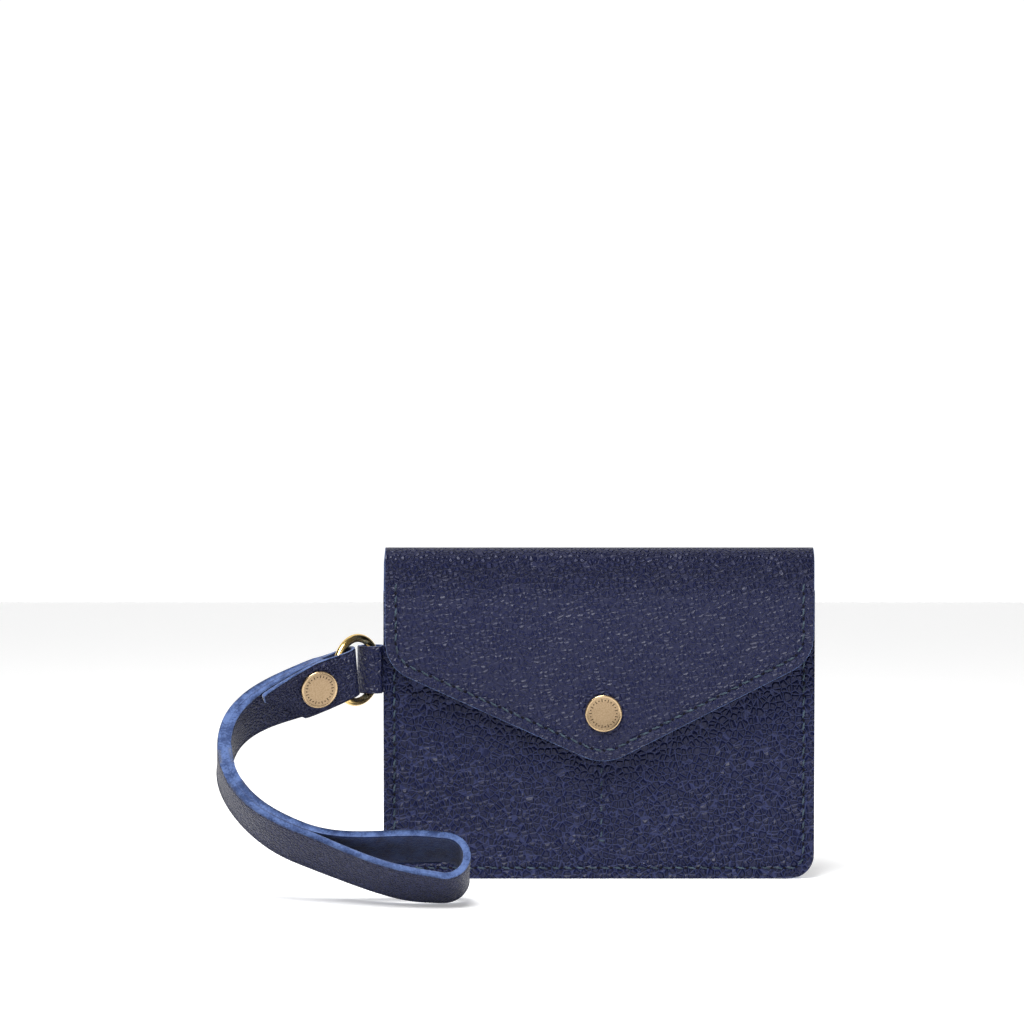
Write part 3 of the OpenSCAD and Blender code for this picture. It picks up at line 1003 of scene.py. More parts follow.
class Flap:
    """The pointed flap with its half of the fold, and its lining."""

    def __init__(self, size: WalletSize, flap: FlapSize, body: WalletBody, palette: Palette) -> None:
        """Keeps the sizes.

        Args:
            size: The body's sizes.
            flap: The flap's sizes.
            body: The wallet's body, whose fold the flap runs on from.
            palette: The finishes.
        """
        self.size, self.flap, self.body = size, flap, body
        # The flap's grain carries painted shade in its creases.
        self.leather = [palette.flap.build(), body.leather[1], body.leather[2]]

    def columns(self) -> list[float]:
        """Places of the flap's columns.

        Returns:
            Rising places.
        """
        marks = [0.0, 0.7, 1.4, 2.1, 2.8, 3.5, 4.2, 5.2, 6.6, 8.6, 11.0, 13.0]
        return both_edges(self.flap.side, marks, 1.6)

    def heights(self, top: float, low: float) -> list[float]:
        """Heights of one column's rows, dense along the outline.

        Args:
            top: Upper end.
            low: The outline's height.

        Returns:
            Falling heights.
        """
        marks = [9.0, 7.4, 6.2, 5.3, 4.6, 3.9, 3.3, 2.6, 1.8, 0.9, 0.0]
        return spaced(top, low + 11.0, 26) + [low + m for m in marks]

    def wave(self, x: float, z: float, outline: Outline) -> float:
        """Soft unevenness of the flap's face, and the stitches' channel.

        Args:
            x: Place across.
            z: Height.
            outline: The flap's outline.

        Returns:
            Distance outwards, which may be negative.
        """
        lean = math.cos(math.radians(25))
        near = min((z - outline.low(x)) * lean, self.flap.side - abs(x))
        channel = -0.42 * math.exp(-(((near - self.size.seam_inset) / 0.8) ** 2))
        rim = 0.18 * math.exp(-(((near - 1.6) / 0.9) ** 2))
        near_mouth = math.exp(-(((z - self.size.mouth_z - 0.5) / 2.2) ** 2))
        mouth = 0.22 * near_mouth * smooth((self.flap.side - abs(x)) / 12)
        soft = 0.12 * math.sin(x / 17 + 1) * math.sin(z / 11) * smooth((near - 4) / 8)
        return (channel + rim) * smooth((self.size.fold_z - 2 - z) / 6) + (mouth + soft) * smooth(
            (self.size.fold_z - z) / 5
        )

    def build(self) -> None:
        """Makes and places the flap's leather and lining."""
        s, flap = self.size, self.flap
        xs = self.columns()
        outline = Outline(flap, 0.0, s.fold_z)
        outer, inner = [], []
        for turn in spaced(90, 180, 18)[:-1]:
            outer.append([self.body.fold_point(x, s.fold_r, turn) for x in xs])
            inner.append([self.body.fold_point(x, s.fold_r - s.leather_t, turn) for x in xs])
        stacks = [self.heights(s.fold_z, outline.low(x)) for x in xs]
        for i in range(len(stacks[0])):
            outer.append([
                Vector((x, s.flap_y - self.wave(x, stack[i], outline), stack[i]))
                for x, stack in zip(xs, stacks)
            ])
            inner.append([Vector((x, s.flap_y + s.leather_t, stack[i])) for x, stack in zip(xs, stacks)])
        leather = leather_sheet("flap_leather", outer, inner, self.leather, 0.32, open_row=0)
        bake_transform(leather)
        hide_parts("flap", "flap_fold")
        top = s.fold_z - 4
        faces = [s.flap_y + s.leather_t, s.flap_y + s.leather_t + flap.lining_t]
        stacks = [self.heights(top, outline.low(x)) for x in xs]
        grids = [
            [[Vector((x, y, stack[i])) for x, stack in zip(xs, stacks)] for i in range(len(stacks[0]))]
            for y in faces
        ]
        lining = leather_sheet(
            "flap_lining_leather", grids[0], grids[1],
            [self.leather[2], self.leather[1], self.leather[2]], 0.15,
        )
        place(lining, Body.FLAP, "lining_leather", "flap_lining")


# ---------------------------------------------------------------- stitching


@dataclass(frozen=True)
class Stitch:
    """Sizes of a stitch, in millimetres."""

    pitch: float = 4.0
    length: float = 3.0
    thread: float = 0.52
    slant: float = 9.0


class Stitching:
    """Rows of slanted stitches, with near-black patches of painted shade in their holes."""

    def __init__(self, stitch: Stitch, palette: Palette) -> None:
        """Builds the shared materials.

        Args:
            stitch: Sizes of a stitch.
            palette: The finishes.
        """
        self.stitch = stitch
        self.materials = [palette.thread.build(), palette.hole_painted_shade.build()]

    def spots(self, path: list[Vector], pitch: float) -> list[tuple[Vector, float]]:
        """Even places along a path.

        Args:
            path: Points (x, z) of the path.
            pitch: Wanted distance between places.

        Returns:
            Places and their directions in radians.
        """
        sums = [0.0]
        for a, b in zip(path, path[1:]):
            sums.append(sums[-1] + (b - a).length)
        count = math.floor(sums[-1] / pitch)
        found, i = [], 0
        for k in range(count):
            s = (k + 0.5) * sums[-1] / count
            while sums[i + 1] < s:
                i += 1
            a, b = path[i], path[i + 1]
            along = (s - sums[i]) / (sums[i + 1] - sums[i])
            found.append((mix(a, b, along), math.atan2(b.y - a.y, b.x - a.x)))
        return found

    def add(self, bm: bmesh.types.BMesh, p: Vector, angle: float, y: float, out: float) -> None:
        """Adds one stitch and a near-black patch of painted shade in the hole at its end.

        Args:
            bm: The row's mesh.
            p: Middle of the stitch.
            angle: Direction of the row.
            y: The leather's face.
            out: Outward sign along Y.
        """
        t = self.stitch
        turn = Matrix.Rotation(-angle - math.radians(t.slant) * out, 4, "Y")
        seat = Matrix.Translation((p.x, y + out * 0.1, p.y)) @ turn
        body = bmesh.ops.create_uvsphere(
            bm, u_segments=10, v_segments=8, radius=0.5,
            matrix=seat @ Matrix.Diagonal((t.length, t.thread, t.thread * 1.15, 1.0)),
        )
        half = t.length / 2
        inverse = seat.inverted()
        for v in body["verts"]:
            local = inverse @ v.co
            share = abs(local.x) / half
            local.z += 0.12 * math.sin(local.x * 5)
            local.y -= out * 0.3 * share**3
            v.co = seat @ local
        for f in {f for v in body["verts"] for f in v.link_faces}:
            f.material_index = 0
        ahead = Matrix.Rotation(-angle, 4, "Y") @ Vector((t.pitch / 2, 0, 0))
        # Flat near-black ellipsoid in the stitch hole: painted shade.
        hole_painted_shade = bmesh.ops.create_uvsphere(
            bm, u_segments=8, v_segments=6, radius=0.5,
            matrix=Matrix.Translation((p.x + ahead.x, y + out * 0.0, p.y + ahead.z))
            @ Matrix.Rotation(-angle, 4, "Y") @ Matrix.Diagonal((1.1, 0.3, 0.85, 1.0)),
        )
        for f in {f for v in hole_painted_shade["verts"] for f in v.link_faces}:
            f.material_index = 1

    def row(self, name: str, runs: list, body: Body, node: str) -> None:
        """Makes one piece from several runs of stitches.

        Args:
            name: The piece's name.
            runs: Tuples of path, face as y or a function of the place, outward sign and pitch.
            body: The body it rides on.
            node: The CAD node it replaces.
        """
        bm = bmesh.new()
        for path, face, out, pitch in runs:
            for p, angle in self.spots(path, pitch):
                self.add(bm, p, angle, face(p.x, p.y) if callable(face) else face, out)
        place(finish_mesh(bm, name, self.materials), body, "thread", node)

    def build(self, size: WalletSize, flap: FlapSize, body: WalletBody) -> None:
        """Makes and places all the stitching.

        Args:
            size: The body's sizes.
            flap: The flap's sizes.
            body: The wallet's body, whose faces the stitches lie on.
        """
        x = size.half_w - size.seam_inset
        top, low, r = size.flare_z - 1, size.seam_inset, size.corner_r - size.seam_inset
        corners = [Vector((-x, top)), Vector((-x, low)), Vector((x, low)), Vector((x, top))]
        path = [corners[0], *Outline.fillet(*corners[:3], r), *Outline.fillet(*corners[1:], r), corners[3]]
        seam = size.seam_y + size.leather_t
        runs = [
            (path, lambda px, pz: -seam - body.front_out(px, pz) + 0.3, -1.0, self.stitch.pitch),
            (path, lambda px, pz: seam + body.back_out(px, pz) - 0.3, 1.0, self.stitch.pitch),
        ]
        self.row("body_seam_thread", runs, Body.WALLET, "body_seam_stitching")
        run = [Vector((size.divider_x, size.divider_high)), Vector((size.divider_x, size.divider_low))]
        tack = [Vector((size.divider_x + side, size.divider_low)) for side in (-1.5, 1.6)]

        def face(px: float, pz: float) -> float:
            """Finds how deep the divider's thread lies on the front.

            Args:
                px: X in millimetres.
                pz: Height in millimetres.

            Returns:
                Y in millimetres.
            """
            return -seam - body.front_out(px, pz) + 0.1

        self.row(
            "divider_thread", [(run, face, -1.0, self.stitch.pitch), (tack, face, -1.0, 3.0)],
            Body.WALLET, "divider_stitching",
        )
        edge = Outline(flap, size.seam_inset, size.flare_z + 4.5).points
        back = size.flap_y + size.leather_t + flap.lining_t
        self.row(
            "flap_thread",
            [(edge, size.flap_y + 0.28, -1.0, self.stitch.pitch), (edge, back, 1.0, self.stitch.pitch)],
            Body.FLAP, "flap_stitching",
        )


# ---------------------------------------------------------------- snap


@dataclass(frozen=True)
class SnapSize:
    """Sizes of the snap's four parts, in millimetres."""

    cap_r: float = 6.0
    cap_t: float = 1.4
    post_r: float = 1.6
    socket_r: float = 4.8
    neck_r: float = 1.7


def cap_profile(r: float, t: float) -> list[tuple[float, float]]:
    """Section of a domed cap with a rolled rim and a dished middle.

    Args:
        r: Radius.
        t: Height.

    Returns:
        Points from the axis under the cap, round the rim, to the axis on top.
    """
    rim = [
        (r - 0.45 + 0.45 * math.cos(math.radians(a)), 0.66 * t + 0.34 * t * math.sin(math.radians(a)))
        for a in range(-10, 116, 14)
    ]
    return [
        (0.0, 0.0), (r - 0.35, 0.0), (r - 0.08, 0.2), *rim, (r - 0.8, t * 0.9), (r - 1.05, t * 0.86),
        (r - 2.8, t * 0.84), (r - 3.4, t * 0.82), (0.0, t * 0.84),
    ]


def cap_marks(bm: bmesh.types.BMesh, r: float, h: float, seat: Matrix, count: int = 26) -> None:
    """Adds a ring of small plain ticks to a cap.

    Args:
        bm: Mesh to add to.
        r: Radius of the ring of ticks.
        h: Height of the ticks' middle.
        seat: Matrix of the cap.
        count: How many ticks.
    """
    for k in range(count):
        a = 2 * math.pi * k / count
        turn = Matrix.Rotation(a, 4, "Z") @ Matrix.Translation((r, 0, h))
        size = (0.95, 0.27, 0.06, 1.0) if k % 2 else (0.4, 0.4, 0.06, 1.0)
        bmesh.ops.create_cube(bm, size=1.0, matrix=seat @ turn @ Matrix.Diagonal(size))
    bmesh.ops.bevel(
        bm, geom=list(bm.edges), offset=0.02, segments=1, profile=0.5, affect="EDGES",
        clamp_overlap=True, material=-1,
    )


def seat_on(point: Vector, right: Vector, up: Vector, out: Vector) -> Matrix:
    """Matrix that seats a turned piece at a point, with its +Z outwards.

    Args:
        point: Where its origin goes.
        right: Where its +X points.
        up: Where its +Y points.
        out: Where its +Z points.

    Returns:
        The matrix.
    """
    return Matrix((
        (right.x, up.x, out.x, point.x),
        (right.y, up.y, out.y, point.y),
        (right.z, up.z, out.z, point.z),
        (0, 0, 0, 1),
    ))


class Snap:
    """Cap, socket and spring on the flap; stud and eyelet post on the front panel."""

    def __init__(self, snap: SnapSize, size: WalletSize, flap: FlapSize, palette: Palette) -> None:
        """Keeps the sizes and builds the metals.

        Args:
            snap: The snap's sizes.
            size: The body's sizes.
            flap: The flap's sizes.
            palette: The finishes.
        """
        self.snap, self.size, self.flap = snap, size, flap
        self.metal = [palette.cap.build(), palette.rim.build()]
        self.mark, self.wire = [palette.mark.build()], [palette.wire.build()]

    def seat(self, y: float, out: float = -1.0) -> Matrix:
        """Matrix of a piece on the snap's axis.

        Args:
            y: Where its base lies.
            out: Which way along Y its +Z points.

        Returns:
            The matrix.
        """
        point = Vector((self.size.snap_x, y, self.size.snap_z))
        return seat_on(point, Vector((-out, 0, 0)), Vector((0, 0, 1)), Vector((0, out, 0)))

    def build(self) -> None:
        """Makes and places the snap's pieces."""
        n, s = self.snap, self.size
        inner = s.flap_y + s.leather_t + self.flap.lining_t
        tail = inner - s.flap_y + 0.5
        rim_from = n.cap_r - 0.8
        head = cap_profile(n.cap_r, n.cap_t)
        profile = [(0.0, -tail), (n.post_r, -tail), (n.post_r, -0.01), *head[1:]]
        seat = self.seat(s.flap_y + 0.05)
        cap = lathe("snap_cap_brass", profile, seat, self.metal, lambda r: int(r > rim_from))
        place(cap, Body.FLAP, "antique_brass", "snap_cap")
        bm = bmesh.new()
        cap_marks(bm, n.cap_r - 1.75, n.cap_t * 0.85, self.seat(s.flap_y + 0.05))
        place(finish_mesh(bm, "snap_cap_ticks", self.mark), Body.FLAP, "antique_brass")
        depth = 2.0
        shell = [
            (n.post_r + 0.05, 0.0), (n.socket_r - 0.15, 0.0), (n.socket_r, 0.15), (n.socket_r, 0.42),
            (n.socket_r - 0.2, 0.58), (4.0, 0.62), (3.9, 0.8), (3.9, depth - 0.15), (3.75, depth + 0.06),
            (3.4, depth + 0.1), (2.75, depth + 0.1), (2.6, depth), (2.6, depth - 0.25), (3.4, depth - 0.3),
            (3.4, 0.6), (n.post_r + 0.05, 0.6),
        ]
        socket = lathe("snap_socket_brass", shell, self.seat(inner, 1.0), self.metal)
        place(socket, Body.FLAP, "antique_brass", "snap_socket")
        turns = [a * math.pi / 6 for a in range(12)]
        ring = [(3.05 + 0.2 * math.cos(a), 1.35 + 0.2 * math.sin(a)) for a in turns]
        spring = lathe("snap_spring_wire", ring, self.seat(inner, 1.0), self.wire)
        place(spring, Body.FLAP, "spring_wire", "snap_spring")
        stud_y = -s.seam_y - s.leather_t - s.snap_seat
        knob = [
            (n.post_r + 0.02, 0.0), (4.45, 0.0), (4.6, 0.1), (4.6, 0.3), (4.4, 0.46), (4.1, 0.5), (2.0, 0.58),
            (n.neck_r, 0.7), (n.neck_r, 0.95), (n.neck_r + 0.2, 1.2), (n.neck_r + 0.25, 1.45),
            (n.neck_r + 0.15, 1.7), (n.neck_r - 0.05, 1.88), (n.post_r + 0.02, 1.9),
        ]
        stud = lathe("snap_stud_brass", knob, self.seat(stud_y), self.metal)
        place(stud, Body.WALLET, "antique_brass", "snap_stud")
        length = s.leather_t + 1.8
        eyelet = [
            (1.0, -0.34), (1.25, -0.4), (4.0, -0.4), (4.2, -0.3), (4.2, -0.1), (4.1, 0.0), (n.post_r, 0.0),
            (n.post_r, length - 0.1), (n.post_r - 0.1, length), (1.15, length), (1.0, length - 0.15),
        ]
        post = lathe("snap_post_brass", eyelet, self.seat(stud_y + s.leather_t), self.metal)
        place(post, Body.WALLET, "antique_brass", "snap_post")


# ---------------------------------------------------------------- tab and ring


@dataclass(frozen=True)
class RingSize:
    """Sizes of the ring and its tab, in millimetres."""

    outside_d: float = 23.4
    wire_d: float = 2.7
    band_w: float = 16.0
    tab_w: float = 15.2
    tab_t: float = 1.2
    tab_z: float = 68.5
    lift: float = 0.2
    yaw: float = 53.0
    tab_x: float = -73.5
    tab_y: float = -1.4

    @property
    def ring_r(self) -> float:
        """Radius to the wire's middle."""
        return (self.outside_d - self.wire_d) / 2

    @property
    def ring_z(self) -> float:
        """Height of the ring's centre."""
        return self.tab_z + self.lift

    @property
    def far_r(self) -> float:
        """Radius of the wire's outside."""
        return self.ring_r + self.wire_d / 2

    @property
    def near_r(self) -> float:
        """The wire's inside at the tab's edge, from the ring's upright middle line."""
        return math.sqrt((self.ring_r - self.wire_d / 2) ** 2 - (self.tab_w / 2 + self.lift) ** 2)

    @property
    def hold_r(self) -> float:
        """Radius at which the tab and the strap hold the ring."""
        return (self.far_r + self.near_r) / 2

    @property
    def room(self) -> float:
        """Inside radius of the tab's loop."""
        return (self.far_r - self.near_r) / 2 + 0.15

    @property
    def out(self) -> Vector:
        """Direction in plan from the tab to the strap."""
        return Vector((-math.cos(math.radians(self.yaw)), -math.sin(math.radians(self.yaw)), 0.0))

    @property
    def middle(self) -> Vector:
        """The ring's centre."""
        return Vector((self.tab_x, self.tab_y, self.ring_z)) + self.out * self.hold_r

    @property
    def strap_axis(self) -> Vector:
        """Where the strap's upright axis meets the ring's mid height."""
        return Vector((self.tab_x, self.tab_y, self.ring_z)) + self.out * (2 * self.hold_r)


class TabAndRing:
    """The folded leather tab and the round ring it holds."""

    def __init__(self, ring: RingSize, size: WalletSize, palette: Palette) -> None:
        """Keeps the sizes and builds the materials.

        Args:
            ring: The ring's sizes.
            size: The body's sizes.
            palette: The finishes.
        """
        self.ring, self.size = ring, size
        # The tab takes the flap's grain, with its painted shade in the creases.
        self.leather = [palette.flap.build(), palette.edge.build(), palette.flesh.build()]
        self.metal = [palette.ring.build()]

    def loop(self) -> list[tuple[Vector, Vector]]:
        """Plan of the tab from one buried end round the wire to the other.

        Returns:
            Points in plan and outward directions.
        """
        r = self.ring
        middle = Vector((r.tab_x, r.tab_y))
        mid_r = r.room + r.tab_t / 2
        found = []
        for k in range(41):
            a = math.radians(mix(52, 308, k / 40))
            way = Vector((math.cos(a), math.sin(a)))
            found.append((middle + way * mid_r, way))
        first, last = found[0][0], found[-1][0]
        lead = [
            (Vector((mix(-62.5, -70.4, t), 0.26)), Vector((0.0, 1.0))) for t in (0.0, 0.5, 0.9)
        ]
        way_in = (found[0][1] + Vector((0, 1))).normalized()
        way_out = (found[-1][1] + Vector((0, -1))).normalized()
        bend_in = [(mix(Vector((-70.4, 0.26)), first, t), way_in) for t in (0.35, 0.7)]
        bend_out = [(mix(last, Vector((-70.4, -0.26)), t), way_out) for t in (0.3, 0.65)]
        tail = [(Vector((mix(-70.4, -62.5, t), -0.26)), Vector((0.0, -1.0))) for t in (0.1, 0.5, 1.0)]
        return lead + bend_in + found + bend_out + tail

    def build(self) -> None:
        """Makes and places the tab and the ring."""
        r = self.ring
        plan = self.loop()
        heights = [r.tab_z + h for h in both_edges(r.tab_w / 2, [0.0, 0.5, 1.5], 2.5)]
        outer, inner = [], []
        for point, way in plan:
            thick = 0.46 if point.x > -70.3 else r.tab_t
            outer.append([Vector((*(point + way * thick / 2), h)) for h in heights])
            inner.append([Vector((*(point - way * thick / 2), h)) for h in heights])
        tab = leather_sheet("ring_tab_leather", outer, inner, self.leather, 0.22)
        place(tab, Body.WALLET, "navy_leather", "ring_tab")
        seat = seat_on(r.middle, r.out, Vector((0, 0, 1)), r.out.cross(Vector((0, 0, 1))))
        wire = r.wire_d / 2
        section = [
            (r.ring_r + wire * math.cos(math.pi * a / 12), wire * math.sin(math.pi * a / 12))
            for a in range(24)
        ]
        place(lathe("o_ring_brass", section, seat, self.metal, steps=120), Body.RING, "gold_brass", "o_ring")


# ---------------------------------------------------------------- wrist strap


@dataclass(frozen=True)
class StrapSize:
    """Sizes and route of the strap, in millimetres and degrees per millimetre."""

    length: int = 151
    thick: float = 2.2
    yaw: float = 27.0
    pitch: float = 21.5
    drop: float = 0.7
    lead: float = 4.7
    ply_gap: float = 0.15
    loop_gap: float = 12.0
    turn: list[float] = field(
        default_factory=lambda: [-0.45, -1.0, 1.5, 3.0, 2.1, 1.45, 1.2, 0.78, 0.35, 0.3, 0.1]
    )
    twist: list[float] = field(default_factory=lambda: [0.2, 1.55, 0.6, -0.35, 0.4, -0.2, 0.0, -1.0])
    over_t: float = 1.4
    ease: float = 1.6
    wrap_top: float = 0.2
    wrap_low: float = 4.4
    wrap_t: float = 1.0
    wrap_in: float = 2.0
    fold_in: float = 3.0
    inner_end: float = 9.0
    cut_top: float = 35.0
    cut_low: float = 20.5
    rivet_s: int = 14
    rivet_r: float = 6.1


SHARES = [0.0, 0.05, 0.13, 0.28, 0.5, 0.72, 0.87, 0.95, 1.0]


@dataclass(frozen=True)
class Station:
    """One step of the strap's middle line."""

    point: Vector
    along: Vector
    outward: Vector
    up: Vector


class WristStrap:
    """The doubled strap, folded round the ring and riveted."""

    def __init__(self, strap: StrapSize, ring: RingSize, palette: Palette) -> None:
        """Follows the strap's middle line step by step from the ring.

        Args:
            strap: The strap's sizes and route.
            ring: The ring's sizes.
            palette: The finishes.
        """
        self.strap, self.ring = strap, ring
        self.leather = [palette.strap.build(), palette.edge.build(), palette.flesh.build()]
        self.metal = [palette.cap.build(), palette.rim.build()]
        self.mark = [palette.mark.build()]
        self.ply = strap.thick / 2 + strap.ply_gap / 2
        self.loop_r = strap.loop_gap / 2 + strap.thick / 2
        self.tip = strap.length - self.loop_r
        self.over = 2 * self.ply + 0.3 + strap.over_t / 2
        self.line = self.route()

    @staticmethod
    def listed(values: list[float], t: float) -> float:
        """Reads a list as a line over 0..1.

        Args:
            values: The values at even places.
            t: The place.

        Returns:
            The value there.
        """
        u = clamp(t) * (len(values) - 1)
        i = min(len(values) - 2, math.floor(u))
        return mix(values[i], values[i + 1], u - i)

    def route(self) -> list[Station]:
        """Works out the middle line.

        Returns:
            One station per millimetre.
        """
        s = self.strap
        cy, sy = math.cos(math.radians(s.yaw)), math.sin(math.radians(s.yaw))
        cp, sp = math.cos(math.radians(s.pitch)), math.sin(math.radians(s.pitch))
        f = Vector((-cy * cp, -sy * cp, -sp))
        w = (Vector((0, 0, 1)) - f * f.z).normalized()
        n = f.cross(w)
        n = n if n.y > 0 else -n
        start = self.ring.strap_axis - Vector((0, 0, s.drop)) - f * s.lead
        line = [Station(start, f, n, w)]
        for i in range(s.length):
            a = math.radians(self.listed(s.turn, (i + 0.5) / s.length))
            b = math.radians(self.listed(s.twist, (i + 0.5) / s.length))
            k = line[-1]
            f = k.along * math.cos(a) - k.outward * math.sin(a)
            m = k.outward * math.cos(a) + k.along * math.sin(a)
            n = m * math.cos(b) + k.up * math.sin(b)
            w = k.up * math.cos(b) - m * math.sin(b)
            line.append(Station(k.point + (k.along + f) / 2, f, n, w))
        return line

    def beside(self, s: float, out: float, up: float) -> Vector:
        """A place beside the middle line.

        Args:
            s: Distance along it.
            out: Distance outwards.
            up: Distance across the strap.

        Returns:
            The point.
        """
        i = min(self.strap.length - 1, max(0, math.floor(s)))
        a, b = self.line[i], self.line[i + 1]
        t = clamp(s - i)
        point = mix(a.point, b.point, t) + a.along * (s - i - t)
        return point + mix(a.outward, b.outward, t) * out + mix(a.up, b.up, t) * up

    def spread(self, s: float) -> float:
        """Half the distance between the two arms.

        Args:
            s: Distance along the strap.

        Returns:
            The distance.
        """
        length = self.strap.length
        return mix(self.ply, self.loop_r, smooth((s - length + 52) / 40))

    def high(self, s: float) -> float:
        """Height of the strap's upper edge above its middle line.

        Args:
            s: Distance along the strap.

        Returns:
            The height.
        """
        return self.ring.band_w / 2 - self.strap.ease * (1 - smooth(s / 14))

    def row(
        self, top_s: float, low_s: float, out: float, thick: float, grain: float, low: float | None = None
    ):
        """One row of points across the strap, on both sides of the leather.

        Args:
            top_s: Place of the upper edge along the strap.
            low_s: Place of the lower edge.
            out: Middle of the leather from the middle line.
            thick: Thickness.
            grain: Sign of the grain side, outwards being +1.
            low: Lower edge, if it isn't the strap's own.

        Returns:
            The grain side's and the flesh side's points.
        """
        half = self.high(top_s)
        low = -self.ring.band_w / 2 if low is None else low
        shares = SHARES if half - low > 9 else spaced(0, 1, 8)
        rows = []
        for side in (grain, -grain):
            rows.append([
                self.beside(mix(top_s, low_s, v), out + side * thick / 2, mix(half, low, v)) for v in shares
            ])
        return rows[0], rows[1]

    def bend(self, a: float):
        """One row round the far end's bend.

        Args:
            a: Angle in degrees, 0 on the outer arm and 180 on the inner.

        Returns:
            The grain side's and the flesh side's points.
        """
        k = self.line[round(self.tip)]
        sin_a, cos_a = math.sin(math.radians(a)), math.cos(math.radians(a))
        half = self.ring.band_w / 2
        rows = []
        for r in (self.loop_r + self.strap.thick / 2, self.loop_r - self.strap.thick / 2):
            rows.append([
                self.beside(self.tip, 0, mix(half, -half, v)) + k.outward * r * cos_a + k.along * r * sin_a
                for v in SHARES
            ])
        return rows[0], rows[1]

    def wrap(self, a: float):
        """One row of the fold round the ring's wire.

        Args:
            a: Angle in degrees, 0 on the outer ply and 180 on the overlap.

        Returns:
            The grain side's and the flesh side's points.
        """
        s = self.strap
        sin_a, cos_a = math.sin(math.radians(a)), math.cos(math.radians(a))
        half = self.ring.band_w / 2
        rows = []
        for extra in (s.wrap_t, 0.0):
            rows.append([
                self.beside(
                    mix(s.wrap_top, s.wrap_low, v) - (s.wrap_in + extra) * sin_a,
                    (s.fold_in + extra) * cos_a, mix(self.high(s.wrap_top), -half, v),
                )
                for v in SHARES
            ])
        return rows[0], rows[1]

    def rows(self) -> list:
        """All rows, from the inner ply's end to the overlap's slanted cut.

        Returns:
            Pairs of grain side and flesh side rows.
        """
        s = self.strap
        end = self.tip - 1
        found = [self.row(p, p, -self.spread(p), s.thick, -1) for p in spaced(s.inner_end, end, 130)]
        found += [self.bend(a) for a in spaced(180, 0, 30)]
        found += [self.row(p, p, self.spread(p), s.thick, 1) for p in spaced(end, 9.6, 130)]
        fold_out = s.fold_in + s.wrap_t / 2
        for k in range(1, 8):
            t = k / 8
            found.append(self.row(
                mix(9.6, s.wrap_top, t), mix(9.6, s.wrap_low, t), mix(self.ply, fold_out, smooth(1.2 * t)),
                mix(s.thick, s.wrap_t, smooth(t)), 1,
            ))
        found += [self.wrap(a) for a in spaced(0, 180, 20)]
        for k in range(7, 0, -1):
            t = k / 8
            found.append(self.row(
                mix(9.6, s.wrap_top, t), mix(9.6, s.wrap_low, t), -mix(self.over, fold_out, t),
                mix(s.over_t, s.wrap_t, smooth(t)), -1,
            ))
        found += [self.row(p, p, -self.over, s.over_t, -1) for p in spaced(9.6, s.cut_low, 9)]
        half = self.ring.band_w / 2
        for p in spaced(s.cut_low, s.cut_top - 2.4, 12)[1:]:
            low = mix(-half, half, (p - s.cut_low) / (s.cut_top - s.cut_low))
            found.append(self.row(p, p, -self.over, s.over_t, -1, low))
        return found

    def build(self) -> None:
        """Makes and places the strap and its rivet."""
        s = self.strap
        pairs = self.rows()
        outer, inner = [p[0] for p in pairs], [p[1] for p in pairs]
        strap = leather_sheet("wrist_strap_leather", outer, inner, self.leather, 0.35)
        place(strap, Body.STRAP, "strap_leather", "wrist_strap")
        k = self.line[s.rivet_s]
        front = self.over + s.over_t / 2
        back = self.ply + s.thick / 2
        seat = seat_on(k.point - k.outward * (front - 0.02), -k.along, k.up, -k.outward)
        rim_from = s.rivet_r - 0.8
        profile = cap_profile(s.rivet_r, 1.4)
        cap = lathe("strap_rivet_cap_brass", profile, seat, self.metal, lambda r: int(r > rim_from))
        place(cap, Body.STRAP, "antique_brass", "strap_rivet_cap")
        bm = bmesh.new()
        cap_marks(bm, s.rivet_r - 1.75, 1.4 * 0.85, seat)
        place(finish_mesh(bm, "strap_rivet_ticks", self.mark), Body.STRAP, "antique_brass")
        seat = seat_on(k.point + k.outward * (back + 0.02), k.along, k.up, k.outward)
        reach = front + back - 0.1
        profile = [(0.0, -reach), (1.6, -reach), (1.6, 0.0), *cap_profile(4.2, 0.9)[1:]]
        post = lathe("strap_rivet_post_brass", profile, seat, self.metal, lambda r: int(r > 3.0))
        place(post, Body.STRAP, "antique_brass", "strap_rivet_post")


# ---------------------------------------------------------------- stage


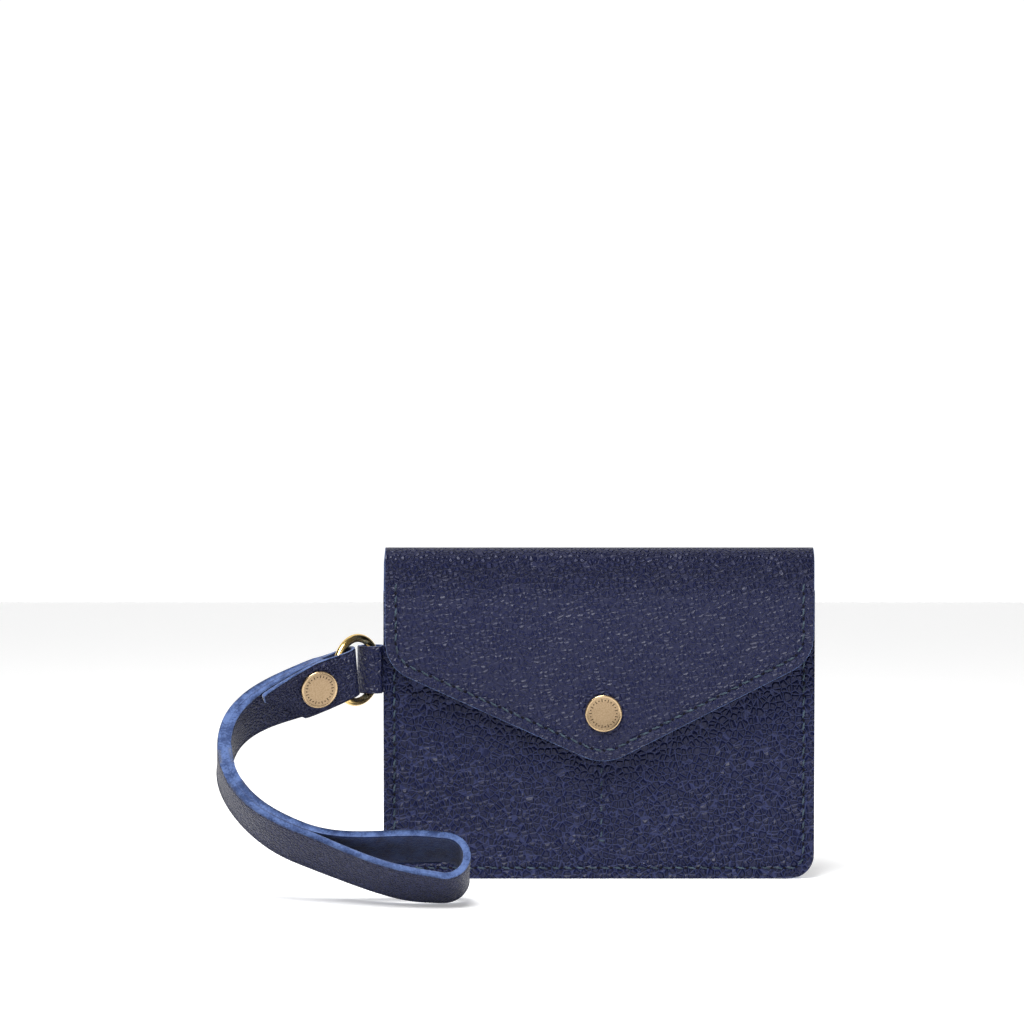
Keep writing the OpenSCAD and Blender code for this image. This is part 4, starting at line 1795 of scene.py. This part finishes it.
@dataclass(frozen=True)
class Studio:
    """Camera, lights and floor, in metres."""

    target: tuple[float, float, float] = (-0.02826, 0.0, 0.1194)
    distance: float = 1.15
    elevation: float = 2.5
    lens: float = 124.6
    world: float = 0.12
    key: float = 11.0
    fill: float = 1.0
    front: float = 1.0

    def area(self, name: str, spot: tuple[float, float, float], size: float, power: float) -> None:
        """Adds a soft square light aimed at the wallet.

        Args:
            name: Name of the light.
            spot: Where it is.
            size: Its side.
            power: Its power.
        """
        light = bpy.data.lights.new(name, "AREA")
        light.shape, light.size, light.energy = "SQUARE", size, power
        obj = bpy.data.objects.new(name, light)
        obj.location = spot
        aim = Vector((-0.03, -0.01, 0.05)) - Vector(spot)
        obj.rotation_euler = aim.to_track_quat("-Z", "Y").to_euler()
        bpy.context.scene.collection.objects.link(obj)

    def build(self) -> None:
        """Makes the floor, the lights and the camera."""
        scene = bpy.context.scene
        scene.view_settings.view_transform = "Standard"
        world = bpy.data.worlds.new("studio")
        world.use_nodes = True
        back = world.node_tree.nodes["Background"]
        back.inputs["Color"].default_value = (1.0, 1.0, 1.0, 1.0)
        back.inputs["Strength"].default_value = self.world
        scene.world = world
        bm = bmesh.new()
        bmesh.ops.create_grid(bm, x_segments=2, y_segments=2, size=3.0)
        mesh = bpy.data.meshes.new("studio_floor")
        bm.to_mesh(mesh)
        bm.free()
        floor = bpy.data.objects.new("studio_floor", mesh)
        scene.collection.objects.link(floor)
        _, shader, material = start_material("floor_white")
        shader.inputs["Base Color"].default_value = (0.95, 0.95, 0.95, 1.0)
        shader.inputs["Roughness"].default_value = 0.9
        shader.inputs["Specular IOR Level"].default_value = 0.1
        shader.inputs["Emission Color"].default_value = (1.0, 1.0, 1.0, 1.0)
        shader.inputs["Emission Strength"].default_value = 0.25
        mesh.materials.append(material)
        bm = bmesh.new()
        bmesh.ops.create_grid(
            bm, x_segments=2, y_segments=2, size=2.0,
            matrix=Matrix.Translation((0, 1.3, 1.9)) @ Matrix.Rotation(math.radians(90), 4, "X"),
        )
        mesh = bpy.data.meshes.new("studio_backdrop")
        bm.to_mesh(mesh)
        bm.free()
        wall = bpy.data.objects.new("studio_backdrop", mesh)
        scene.collection.objects.link(wall)
        _, shader, material = start_material("backdrop_white")
        shader.inputs["Base Color"].default_value = (0.0, 0.0, 0.0, 1.0)
        shader.inputs["Specular IOR Level"].default_value = 0.0
        shader.inputs["Emission Color"].default_value = (1.0, 1.0, 1.0, 1.0)
        shader.inputs["Emission Strength"].default_value = 1.05
        mesh.materials.append(material)
        self.area("key_light", (-0.2, -0.38, 0.78), 0.5, self.key)
        self.area("fill_light", (0.55, -0.7, 0.45), 0.6, self.fill)
        self.area("front_light", (0.12, -1.1, 0.36), 0.45, self.front)
        camera = bpy.data.cameras.new("camera")
        camera.lens, camera.sensor_width = self.lens, 36.0
        camera.clip_start, camera.clip_end = 0.05, 30.0
        obj = bpy.data.objects.new("camera", camera)
        e = math.radians(self.elevation)
        forward = Vector((0.0, math.cos(e), -math.sin(e)))
        obj.location = Vector(self.target) - forward * self.distance
        obj.rotation_euler = forward.to_track_quat("-Z", "Y").to_euler()
        scene.collection.objects.link(obj)
        scene.camera = obj


def main() -> None:
    """Builds the whole picture."""
    logging.basicConfig(level=logging.INFO)
    palette = Palette()
    body = WalletBody(SIZE, palette)
    body.build()
    Flap(SIZE, FLAP, body, palette).build()
    Stitching(Stitch(), palette).build(SIZE, FLAP, body)
    Snap(SnapSize(), SIZE, FLAP, palette).build()
    ring = RingSize()
    TabAndRing(ring, SIZE, palette).build()
    WristStrap(StrapSize(), ring, palette).build()
    Studio().build()


if __name__ == "__main__":
    main()
